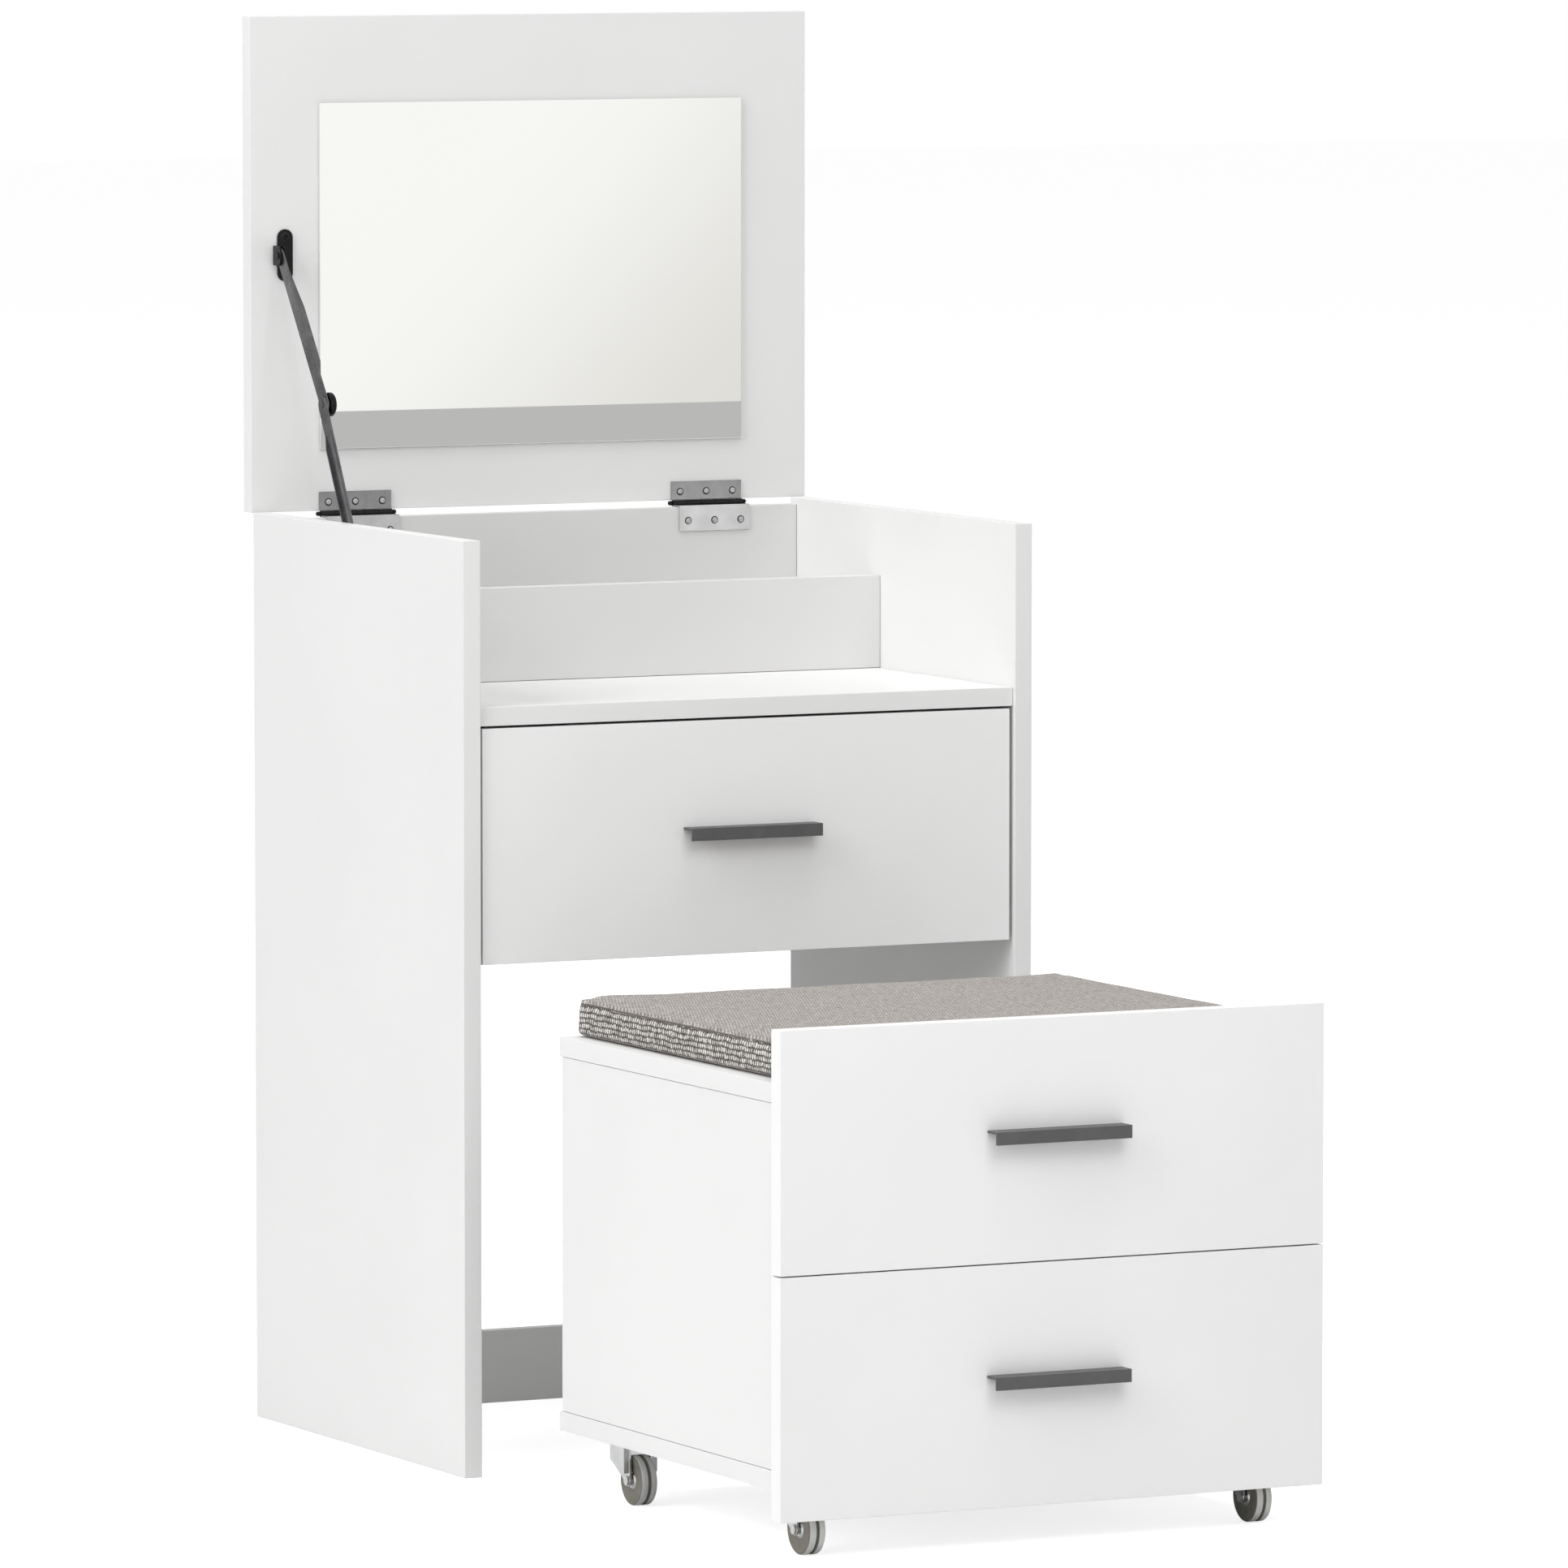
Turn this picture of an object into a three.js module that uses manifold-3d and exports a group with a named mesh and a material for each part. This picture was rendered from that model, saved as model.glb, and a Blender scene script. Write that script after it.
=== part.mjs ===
// A narrow dressing table with a flip-up mirror lid, and a rolling drawer stool that parks under it.
// Millimetres, +Z up, +X to the right of somebody facing the table, +Y towards the wall behind it.
// The origin is on the floor, in the middle of the box that holds the table and its rolled-out stool.
import * as THREE from "three";
import { RoundedBoxGeometry } from "three/addons/geometries/RoundedBoxGeometry.js";
import { mergeVertices } from "three/addons/utils/BufferGeometryUtils.js";
import Module from "manifold-3d";

// Stock thicknesses and clearances
const BOARD = 15; // faced chipboard of the carcass, fronts, lid and stool
const THIN_BOARD = 12; // back board, floor rail and drawer boxes
const BOTTOM_SHEET = 3; // hardboard drawer bottoms
const STRIP_METAL = 1.5; // sheet metal of the stay and the casters
const LEAF = 1.2; // sheet metal of the hinges
const GAP = 0.3; // clearance between pieces that touch

// Table carcass
const TABLE_WIDTH = 500;
const TABLE_DEPTH = 400;
const SIDE_HEIGHT = 735;
const FRONT_INSET = 3.5; // shelf and drawer front lie this far behind the side boards' edges
const SHELF_TOP = 604.5;
const DIVIDER_TOP = 680;
const DIVIDER_FRONT = 236.5;
const FLOOR_RAIL_HEIGHT = 59.5;

// Lid, mirror and hinges
const LID_FACE = 403.5; // the open lid's front face, behind the side boards' front edges
const LID_BOTTOM = 735;
const LID_HEIGHT = 400;
const MIRROR_WIDTH = 380;
const MIRROR_HEIGHT = 280;
const MIRROR_RISE = 50; // from the lid's bottom edge
const MIRROR_GLASS = 3;
const HINGE_X = 158.5;
const HINGE_WIDTH = 64;
const KNUCKLE_RADIUS = 2.5;
const KNUCKLE_COUNT = 5;
const HINGE_PIN_RADIUS = 1.2;
const HINGE_BORE_RADIUS = 1.6;
const PIN_BALL_RADIUS = 2;
const PIN_BALL_REACH = 1.8; // middle of the pin's ball ends, past the leaf
const HINGE_Y = LID_FACE - GAP - KNUCKLE_RADIUS;
const HINGE_Z = SIDE_HEIGHT + 0.5 - (LID_FACE - HINGE_Y); // the closed lid clears the sides by 0.5
const LID_LEAF_TOP = HINGE_Z + 17.7;
const FIXED_LEAF_DROP = 21;
const KNUCKLE_CLEARANCE = 0.4;
const BACK_TOP = HINGE_Z - KNUCKLE_RADIUS - GAP;

// Folding lid stay, in planes parallel to the left side board: pivots as [y, z]
const STAY_LID_PIVOT = [393.5, 942.5];
const STAY_ELBOW = [308, 826.4];
const STAY_SIDE_PIVOT = [226.3, 677.3];
const STAY_PLATE_X = -220; // middle of the mounting plate on the lid
const STAY_PLATE = [13.5, 42, 1.3]; // width, height, thickness of both mounting plates
const UPPER_ARM_X = -228.7; // outer face of the upper arm's web
const LOWER_ARM_X = -230.6; // outer face of the lower arm's web
const ARM_HALF_WIDTH = 6;
const ELBOW_RADIUS = 7;
const RIVET_RADIUS = 2;
const RIVET_HOLE_RADIUS = 2.4;
const KNOB_RADIUS = 9.8;
const KNOB_THICKNESS = 6;
const ARM_FLANGE = 1.3; // thickness of the arms' turned-out edges
const ARM_TAB = 6; // radius of the arms' round ends at the brackets
const UPPER_FLANGE = { height: 5.2, start: 16, startRamp: 38, end: 24, endRamp: 14 };
const LOWER_FLANGE = { height: 3.9, start: 26, startRamp: 16, end: 24, endRamp: 14 };
const EAR_HEIGHT = 16; // of the two ears that hold the upper arm on the lid
const EAR_REACH = 5.2; // forward of the rivet
const EAR_ROUNDING = 5;
const CLIP_WEB = 1.2; // thickness of the strip that joins the ears in front of the plate
const SLEEVE_RADIUS = 5; // of the spacer between the side bracket and the lower arm
const EAR_PLAY = 0.5; // between the arm and each ear

// Drawers
const TABLE_DRAWER_WIDTH = 464;
const TABLE_DRAWER_BOTTOM = 402.5;
const TABLE_DRAWER_HEIGHT = 185;
const BOX_SIDE_GAP = 5; // between a drawer box and the board beside it
const RUNNER = [10, 12]; // depth out from the board, height
const RUNNER_GROOVE = [6, 13]; // depth and height of the groove that rides on it
const SHEET_GROOVE = [5, 3.6]; // depth and height of the groove that holds a drawer bottom
const SHEET_RISE = 10; // of the bottom sheet above the box's lower edge
const HANDLE_WIDTH = 115;
const HANDLE_DEPTH = 16;
const HANDLE_LIP = 10;
const HANDLE_METAL = 2;
const HANDLE_RISE = 9; // top of the handle above the middle of its front
const HANDLE_POST_X = 45;
const HANDLE_POST_RADIUS = 3.5;
const TABLE_BOX = { boxBottom: 420, boxHeight: 130, boxDepth: 350 };
const STOOL_BOX = { boxHeight: 120, boxDepth: 340 };
const STOOL_BOX_BOTTOMS = { lower: 75, upper: 219 };
const TABLE_RUNNER_SPAN = [24, 372]; // from the plane of the front, along the board
const STOOL_RUNNER_SPAN = [20, 360];

// Stool, measured back from the plane of its two fronts
const STOOL_OUT = 514; // how far the stool's fronts stand before the table's side boards
const STOOL_WIDTH = 455;
const STOOL_DEPTH = 388.5;
const STOOL_FRONT_WIDTH = 462;
const STOOL_FRONT_HEIGHT = 184;
const STOOL_FRONT_BOTTOM = 30.5;
const STOOL_FRONT_SEAM = 1;
const STOOL_BOTTOM = 52.5; // underside of the stool's bottom board
const STOOL_TOP = 358.5; // upper side of its top board
const STOOL_SIDE_INSET = 0.5;
const STOOL_SIDE_BACK = 385;
const CUSHION_WIDTH = 430;
const CUSHION_BACK = 387;
const CUSHION_TOP = 394;
const CUSHION_ROUNDING = 10;

// Casters
const CASTER_X = 190.5;
const CASTER_SWIVELS = { front: 55, rear: 342.5 };
const CASTER_TRAIL = 18;
const WHEEL_RADIUS = 19.5;
const WHEEL_HALF_WIDTH = 7;
const AXLE_RADIUS = 2.5;
const FORK_CHEEK_X = 8.3; // inner face of a cheek, from the wheel's middle
const CASTER_PLATE = [38, 2]; // side of the square plate, thickness
const RACE = [11, 1.8]; // radius and depth of the bearing race under the plate
const KINGPIN_RADIUS = 3;
const FORK_FLANGE = 4.5; // stiffening flange turned out along each cheek's front edge
const CHEEK_FRONT = 3; // from the axle forward to the cheeks' front edge
const CHEEK_NOSE = 4.5; // radius of the cheeks round the axle
const CHEEK_SLOPE = [12, 3, 13]; // where the cheek's lower edge starts back from the axle, and its two heights
const FORK_REACH = 31; // from the axle back to the end of the fork's web
const AXLE_HEAD = [3.8, 1.8]; // radius and height of the riveted axle ends

const HALF_WIDTH = TABLE_WIDTH / 2;
const INNER_HALF = HALF_WIDTH - BOARD;
const LID_BACK = LID_FACE + BOARD;
const TABLE_FRONT_Y = (STOOL_OUT + HANDLE_DEPTH - LID_BACK) / 2;
const STOOL_FRONT_Y = TABLE_FRONT_Y - STOOL_OUT;

const MATERIALS = {
  board: new THREE.MeshStandardMaterial({ color: 0xf3f3f2, roughness: 0.45 }),
  bare: new THREE.MeshStandardMaterial({ color: 0xdedcd8, roughness: 0.6 }),
  mirror: new THREE.MeshStandardMaterial({ color: 0xe9ebea, roughness: 0.03, metalness: 1 }),
  steel: new THREE.MeshStandardMaterial({ color: 0xb4b6b8, roughness: 0.3, metalness: 1 }),
  stay: new THREE.MeshStandardMaterial({ color: 0x3a3a3b, roughness: 0.4, metalness: 0.7 }),
  knob: new THREE.MeshStandardMaterial({ color: 0x111112, roughness: 0.25 }),
  handle: new THREE.MeshStandardMaterial({ color: 0x555556, roughness: 0.5, metalness: 0.3 }),
  runner: new THREE.MeshStandardMaterial({ color: 0xe6e6e4, roughness: 0.5 }),
  fabric: new THREE.MeshStandardMaterial({ color: 0x958e86, roughness: 0.95 }),
  zinc: new THREE.MeshStandardMaterial({ color: 0xc9cbcc, roughness: 0.35, metalness: 1 }),
  rubber: new THREE.MeshStandardMaterial({ color: 0x84847f, roughness: 0.7 }),
};

const wasm = await Module();
wasm.setup();

// A closed geometry as a solid that can be joined and cut.
function toSolid(geometry) {
  const bare = geometry.clone();
  bare.deleteAttribute("normal");
  bare.deleteAttribute("uv");
  const merged = mergeVertices(bare, 1e-4);
  return new wasm.Manifold(
    new wasm.Mesh({
      numProp: 3,
      vertProperties: new Float32Array(merged.attributes.position.array),
      triVerts: new Uint32Array(merged.index.array),
    }),
  );
}

// The geometry of some closed geometries joined together, less the ones cut away.
function combine(joined, cut = []) {
  let solid = joined.map(toSolid).reduce((all, next) => all.add(next));
  for (const tool of cut) solid = solid.subtract(toSolid(tool));
  const mesh = solid.getMesh();
  const geometry = new THREE.BufferGeometry();
  geometry.setAttribute("position", new THREE.BufferAttribute(mesh.vertProperties, 3));
  geometry.setIndex(new THREE.BufferAttribute(mesh.triVerts, 1));
  geometry.computeVertexNormals();
  return geometry;
}

// Two X places as a low and a high one, on the left (side -1) or the right (side 1).
function onSide(side, a, b) {
  return [side * a, side * b].sort((first, second) => first - second);
}

const sideWord = (side) => (side < 0 ? "left" : "right");

// A box from its lowest to its highest corner.
function boxBetween(low, high) {
  const size = high.map((value, i) => value - low[i]);
  const middle = high.map((value, i) => (value + low[i]) / 2);
  return new THREE.BoxGeometry(...size).translate(...middle);
}

// A box that reaches equally far to both sides of X = 0.
function boxAcross(halfWidth, [y0, z0], [y1, z1]) {
  return boxBetween([-halfWidth, y0, z0], [halfWidth, y1, z1]);
}

// A round bar along X, with its axis at [y, z].
function barAlongX(radius, x0, x1, [y, z], sides = 16) {
  const bar = new THREE.CylinderGeometry(radius, radius, x1 - x0, sides);
  return bar.rotateZ(Math.PI / 2).translate((x0 + x1) / 2, y, z);
}

// A round bar along Y between two depths, with its axis at x and z.
function barAlongY(radius, y0, y1, x, z, sides = 16) {
  const bar = new THREE.CylinderGeometry(radius, radius, y1 - y0, sides);
  return bar.translate(x, (y0 + y1) / 2, z);
}

// A round bar along Z at the group's own axis.
function barAlongZ(radius, z0, z1, sides = 24) {
  const bar = new THREE.CylinderGeometry(radius, radius, z1 - z0, sides);
  return bar.rotateX(Math.PI / 2).translate(0, 0, (z0 + z1) / 2);
}

function flatPlate(outline, depth) {
  return new THREE.ExtrudeGeometry(outline, { depth, bevelEnabled: false, curveSegments: 8 });
}

// A plate cut to an outline drawn in the YZ plane, from x0 to x1.
function plateAcrossX(outline, x0, x1) {
  const plate = flatPlate(outline, x1 - x0);
  const axes = new THREE.Matrix4().makeBasis(
    new THREE.Vector3(0, 1, 0),
    new THREE.Vector3(0, 0, 1),
    new THREE.Vector3(1, 0, 0),
  );
  return plate.applyMatrix4(axes).translate(x0, 0, 0);
}

// A turned piece whose axis is X, from a closed list of [radius, x] points.
function turnedAboutX(points, segments = 24) {
  const profile = points.map(([radius, x]) => new THREE.Vector2(radius, x));
  return new THREE.LatheGeometry(profile, segments).rotateZ(-Math.PI / 2);
}

// An outline with two round ends of different radius, one at the origin and one at [length, 0].
function linkOutline(length, startRadius, endRadius) {
  const lean = Math.asin((startRadius - endRadius) / length);
  const outline = new THREE.Shape();
  outline.absarc(0, 0, startRadius, Math.PI / 2 - lean, -Math.PI / 2 + lean, false);
  outline.absarc(length, 0, endRadius, -Math.PI / 2 + lean, Math.PI / 2 - lean, false);
  return outline;
}

// An upright plate outline with half-round ends, centred on [y, z].
function obroundOutline(y, z, width, height) {
  const radius = width / 2;
  const reach = height / 2 - radius;
  const outline = new THREE.Shape();
  outline.absarc(y, z - reach, radius, Math.PI, 2 * Math.PI, false);
  outline.absarc(y, z + reach, radius, 0, Math.PI, false);
  return outline;
}

function add(group, name, geometry, material) {
  const mesh = new THREE.Mesh(geometry, material);
  mesh.name = name;
  group.add(mesh);
  return mesh;
}

// A guide strip on the inner face of a board at |x| = innerHalf.
function runnerStrip(side, innerHalf, [y0, y1], z) {
  const outer = innerHalf - GAP;
  const [x0, x1] = onSide(side, outer, outer - RUNNER[0]);
  return boxBetween([x0, y0, z - RUNNER[1] / 2], [x1, y1, z + RUNNER[1] / 2]);
}

// An angle-section pull: a top flange, a front lip and two hidden posts, before the plane y = 0.
function handleGeometry(z) {
  const half = HANDLE_WIDTH / 2;
  const lipBack = HANDLE_METAL - HANDLE_DEPTH;
  const flange = boxAcross(half, [-HANDLE_DEPTH, z - HANDLE_METAL], [-GAP, z]);
  const lip = boxAcross(half, [-HANDLE_DEPTH, z - HANDLE_LIP], [lipBack, z]);
  const postZ = z - HANDLE_METAL - HANDLE_POST_RADIUS + 0.5;
  const posts = [-HANDLE_POST_X, HANDLE_POST_X].map((x) =>
    barAlongY(HANDLE_POST_RADIUS, lipBack - 0.5, -GAP, x, postZ),
  );
  return combine([flange, lip, ...posts]);
}

// A drawer whose front has its outer face at y = 0. innerHalf is half the space between its boards.
function makeDrawer(prefix, sizes) {
  const { frontWidth, frontBottom, frontHeight, innerHalf, boxBottom, boxHeight, boxDepth } = sizes;
  const drawer = new THREE.Group();
  const outer = innerHalf - BOX_SIDE_GAP;
  const inner = outer - THIN_BOARD;
  const boxFront = BOARD + GAP;
  const boxBack = boxFront + boxDepth;
  const boxTop = boxBottom + boxHeight;
  const runnerZ = boxBottom + boxHeight / 2;
  const sheetZ = boxBottom + SHEET_RISE;
  const frontTop = frontBottom + frontHeight;

  const frontBoard = boxAcross(frontWidth / 2, [0, frontBottom], [BOARD, frontTop]);
  add(drawer, `${prefix}_front`, frontBoard, MATERIALS.board);
  for (const side of [-1, 1]) {
    const xs = onSide(side, outer, inner);
    const board = boxBetween([xs[0], boxFront, boxBottom], [xs[1], boxBack, boxTop]);
    const runnerXs = onSide(side, outer + 1, outer - RUNNER_GROOVE[0]);
    const runnerGroove = boxBetween(
      [runnerXs[0], boxFront - 1, runnerZ - RUNNER_GROOVE[1] / 2],
      [runnerXs[1], boxBack + 1, runnerZ + RUNNER_GROOVE[1] / 2],
    );
    const sheetXs = onSide(side, inner - 1, inner + SHEET_GROOVE[0]);
    const sheetGroove = boxBetween(
      [sheetXs[0], boxFront - 1, sheetZ - GAP],
      [sheetXs[1], boxBack + 1, sheetZ - GAP + SHEET_GROOVE[1]],
    );
    const name = `${prefix}_${sideWord(side)}_side`;
    add(drawer, name, combine([board], [runnerGroove, sheetGroove]), MATERIALS.board);
  }
  const sheetHalf = inner + SHEET_GROOVE[0] - GAP;
  const sheetTop = sheetZ + BOTTOM_SHEET;
  const sheet = boxAcross(sheetHalf, [boxFront, sheetZ], [boxBack, sheetTop]);
  add(drawer, `${prefix}_bottom`, sheet, MATERIALS.bare);
  const backBoard = boxAcross(inner - GAP, [boxBack - THIN_BOARD, sheetTop + GAP], [boxBack, boxTop]);
  add(drawer, `${prefix}_back`, backBoard, MATERIALS.board);
  const handleTop = frontBottom + frontHeight / 2 + HANDLE_RISE;
  add(drawer, `${prefix}_handle`, handleGeometry(handleTop), MATERIALS.handle);
  return drawer;
}

function makeCarcass() {
  const carcass = new THREE.Group();
  const backFront = TABLE_DEPTH - THIN_BOARD;
  const between = INNER_HALF - GAP;
  for (const side of [-1, 1]) {
    const xs = onSide(side, HALF_WIDTH, INNER_HALF);
    const panel = boxBetween([xs[0], 0, 0], [xs[1], TABLE_DEPTH, SIDE_HEIGHT]);
    add(carcass, `${sideWord(side)}_side_panel`, panel, MATERIALS.board);
  }
  const shelfBottom = SHELF_TOP - BOARD;
  const dividerBack = DIVIDER_FRONT + BOARD;
  const boards = {
    back_panel: boxAcross(between, [backFront, TABLE_DRAWER_BOTTOM], [TABLE_DEPTH, BACK_TOP]),
    shelf_board: boxAcross(between, [FRONT_INSET, shelfBottom], [backFront - GAP, SHELF_TOP]),
    divider_board: boxAcross(between, [DIVIDER_FRONT, SHELF_TOP + GAP], [dividerBack, DIVIDER_TOP]),
    rear_floor_rail: boxAcross(between, [backFront, 0], [TABLE_DEPTH, FLOOR_RAIL_HEIGHT]),
  };
  for (const [name, geometry] of Object.entries(boards)) {
    add(carcass, name, geometry, MATERIALS.board);
  }
  return carcass;
}

// The X range of each hinge knuckle, from left to right, about the middle of a hinge.
function knuckleRanges() {
  const length = HINGE_WIDTH / KNUCKLE_COUNT;
  return Array.from({ length: KNUCKLE_COUNT }, (_, i) => {
    const start = -HINGE_WIDTH / 2 + i * length;
    return [start + GAP / 2, start + length - GAP / 2];
  });
}

// The leaf on the back board: three knuckles and the pin, a step over the board's top edge, and a
// face down its front.
function fixedLeafGeometry() {
  const axis = [HINGE_Y, HINGE_Z];
  const half = HINGE_WIDTH / 2;
  const stepBottom = HINGE_Z - KNUCKLE_RADIUS;
  const faceBack = TABLE_DEPTH - THIN_BOARD - GAP;
  const clearOfKnuckles = HINGE_Y - KNUCKLE_RADIUS - KNUCKLE_CLEARANCE;
  const stepTop = stepBottom + LEAF;
  const step = boxAcross(half, [faceBack - LEAF, stepBottom], [clearOfKnuckles, stepTop]);
  const face = boxAcross(half, [faceBack - LEAF, stepTop - FIXED_LEAF_DROP], [faceBack, stepTop]);
  const pin = barAlongX(HINGE_PIN_RADIUS, -half - PIN_BALL_REACH, half + PIN_BALL_REACH, axis, 12);
  const pieces = [step, face, pin];
  knuckleRanges().forEach(([x0, x1], i) => {
    if (i % 2) return;
    pieces.push(barAlongX(KNUCKLE_RADIUS, x0, x1, axis));
    pieces.push(boxBetween([x0, clearOfKnuckles - 0.2, stepBottom], [x1, HINGE_Y, stepTop]));
  });
  for (const side of [-1, 1]) {
    const ball = new THREE.SphereGeometry(PIN_BALL_RADIUS, 10, 6);
    pieces.push(ball.translate(side * (half + PIN_BALL_REACH), ...axis));
  }
  return combine(pieces);
}

// The leaf on the lid: two bored knuckles and a flat plate.
function lidLeafGeometry() {
  const axis = [HINGE_Y, HINGE_Z];
  const half = HINGE_WIDTH / 2;
  const plateBack = LID_FACE - GAP;
  const clearOfKnuckles = HINGE_Z + KNUCKLE_RADIUS + KNUCKLE_CLEARANCE;
  const pieces = [boxAcross(half, [plateBack - LEAF, clearOfKnuckles], [plateBack, LID_LEAF_TOP])];
  knuckleRanges().forEach(([x0, x1], i) => {
    if (i % 2 === 0) return;
    pieces.push(barAlongX(KNUCKLE_RADIUS, x0, x1, axis));
    pieces.push(boxBetween([x0, plateBack - LEAF, HINGE_Z], [x1, plateBack, clearOfKnuckles + 0.2]));
  });
  return combine(pieces, [barAlongX(HINGE_BORE_RADIUS, -half - 3, half + 3, axis)]);
}

// The clip on the lid that holds the stay's upper arm between two ears on a rivet.
function stayLidBracketGeometry() {
  const [y, z] = STAY_LID_PIVOT;
  const plateBack = LID_FACE - GAP;
  const plateFront = plateBack - STAY_PLATE[2];
  const outline = obroundOutline(0, 0, STAY_PLATE[0], STAY_PLATE[1]);
  const plate = flatPlate(outline, STAY_PLATE[2]);
  plate.rotateX(Math.PI / 2).translate(STAY_PLATE_X, plateBack, z);
  const leftEar = UPPER_ARM_X - EAR_PLAY - STRIP_METAL;
  const rightEar = UPPER_ARM_X + STRIP_METAL + EAR_PLAY;
  const [earBottom, earTop] = [z - EAR_HEIGHT / 2, z + EAR_HEIGHT / 2];
  const roundingY = y - EAR_REACH + EAR_ROUNDING;
  const ear = new THREE.Shape();
  ear.moveTo(plateFront, earBottom);
  ear.lineTo(plateFront, earTop);
  ear.absarc(roundingY, earTop - EAR_ROUNDING, EAR_ROUNDING, Math.PI / 2, Math.PI, false);
  ear.absarc(roundingY, earBottom + EAR_ROUNDING, EAR_ROUNDING, Math.PI, 1.5 * Math.PI, false);
  const web = boxBetween(
    [leftEar, plateFront - CLIP_WEB, earBottom],
    [STAY_PLATE_X + STAY_PLATE[0] / 4, plateFront + 0.2, earTop],
  );
  return combine([
    plate,
    web,
    plateAcrossX(ear, leftEar, leftEar + STRIP_METAL),
    plateAcrossX(ear, rightEar, rightEar + STRIP_METAL),
    barAlongX(RIVET_RADIUS, leftEar - 0.6, rightEar + STRIP_METAL + 0.6, [y, z]),
    barAlongX(RIVET_RADIUS + 1, leftEar - 0.9, leftEar + 0.1, [y, z]),
  ]);
}

// The plate, boss and rivet on the left side board that hold the stay's lower arm.
function staySideBracketGeometry() {
  const [y, z] = STAY_SIDE_PIVOT;
  const plateX = -INNER_HALF + GAP;
  const outline = obroundOutline(y, z, STAY_PLATE[0], STAY_PLATE[1]);
  const armInner = LOWER_ARM_X + STRIP_METAL;
  return combine([
    plateAcrossX(outline, plateX, plateX + STAY_PLATE[2]),
    barAlongX(SLEEVE_RADIUS, plateX + 0.5, LOWER_ARM_X - GAP, [y, z]),
    barAlongX(RIVET_RADIUS, LOWER_ARM_X - 1, armInner + 1, [y, z]),
    barAlongX(RIVET_RADIUS + 1.4, armInner + GAP, armInner + 1.1, [y, z]),
  ]);
}

// The two turned-out edges of an arm whose web starts at webX. They stand out to side of the web, and
// rise from it and sink back to it on ramps.
function armFlanges(length, webX, side, { height, start, startRamp, end, endRamp }) {
  const [base, face] = side > 0 ? [webX, webX + STRIP_METAL] : [webX + STRIP_METAL, webX];
  const crest = base + side * height;
  const outline = new THREE.Shape();
  outline.moveTo(base, start);
  outline.lineTo(face, start);
  outline.lineTo(crest, start + startRamp);
  outline.lineTo(crest, length - end - endRamp);
  outline.lineTo(face, length - end);
  outline.lineTo(base, length - end);
  return [-ARM_HALF_WIDTH, ARM_HALF_WIDTH - ARM_FLANGE].map((z) =>
    flatPlate(outline, ARM_FLANGE).translate(0, 0, z),
  );
}

// Turns a group that lies along +Y from the first [y, z] point towards the second.
function aim(group, from, to) {
  group.position.set(0, from[0], from[1]);
  group.rotation.x = Math.atan2(to[1] - from[1], to[0] - from[0]);
  return group;
}

const distance = (a, b) => Math.hypot(b[0] - a[0], b[1] - a[1]);

function makeUpperArm() {
  const arm = new THREE.Group();
  const length = distance(STAY_LID_PIVOT, STAY_ELBOW);
  const outline = linkOutline(length, ARM_TAB, ELBOW_RADIUS);
  const web = plateAcrossX(outline, UPPER_ARM_X, UPPER_ARM_X + STRIP_METAL);
  const flanges = armFlanges(length, UPPER_ARM_X, 1, UPPER_FLANGE);
  const hole = barAlongX(RIVET_HOLE_RADIUS, UPPER_ARM_X - 1, UPPER_ARM_X + 3, [0, 0]);
  add(arm, "stay_upper_arm", combine([web, ...flanges], [hole]), MATERIALS.stay);
  const knobStart = UPPER_ARM_X + STRIP_METAL + GAP;
  const knobEnd = knobStart + KNOB_THICKNESS;
  const profile = [
    [0, knobStart],
    [4, knobStart],
    [4, knobStart + 0.8],
    [KNOB_RADIUS - 1, knobStart + 0.8],
    [KNOB_RADIUS, knobStart + 1.8],
    [KNOB_RADIUS, knobEnd - 1.5],
    [KNOB_RADIUS - 1.5, knobEnd],
    [0, knobEnd],
  ];
  const knob = add(arm, "stay_knob", turnedAboutX(profile), MATERIALS.knob);
  knob.position.y = length;
  return aim(arm, STAY_LID_PIVOT, STAY_ELBOW);
}

function makeLowerArm() {
  const arm = new THREE.Group();
  const length = distance(STAY_SIDE_PIVOT, STAY_ELBOW);
  const outline = linkOutline(length, ARM_TAB, ELBOW_RADIUS);
  const web = plateAcrossX(outline, LOWER_ARM_X, LOWER_ARM_X + STRIP_METAL);
  const flanges = armFlanges(length, LOWER_ARM_X, -1, LOWER_FLANGE);
  const hole = barAlongX(RIVET_HOLE_RADIUS, LOWER_ARM_X - 1, LOWER_ARM_X + 3, [0, 0]);
  const rivetHead = barAlongX(3, LOWER_ARM_X - 0.8, LOWER_ARM_X + 0.5, [length, 0]);
  add(arm, "stay_lower_arm", combine([web, ...flanges, rivetHead], [hole]), MATERIALS.stay);
  return aim(arm, STAY_SIDE_PIVOT, STAY_ELBOW);
}

function makeLid() {
  const lid = new THREE.Group();
  const lidTop = LID_BOTTOM + LID_HEIGHT;
  const panel = boxAcross(HALF_WIDTH, [LID_FACE, LID_BOTTOM], [LID_BACK, lidTop]);
  add(lid, "lid_panel", panel, MATERIALS.board);
  const glassBack = LID_FACE - GAP;
  const glassBottom = LID_BOTTOM + MIRROR_RISE;
  const glass = boxAcross(
    MIRROR_WIDTH / 2,
    [glassBack - MIRROR_GLASS, glassBottom],
    [glassBack, glassBottom + MIRROR_HEIGHT],
  );
  add(lid, "mirror_glass", glass, MATERIALS.mirror);
  add(lid, "stay_lid_bracket", stayLidBracketGeometry(), MATERIALS.stay);
  return lid;
}

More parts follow.
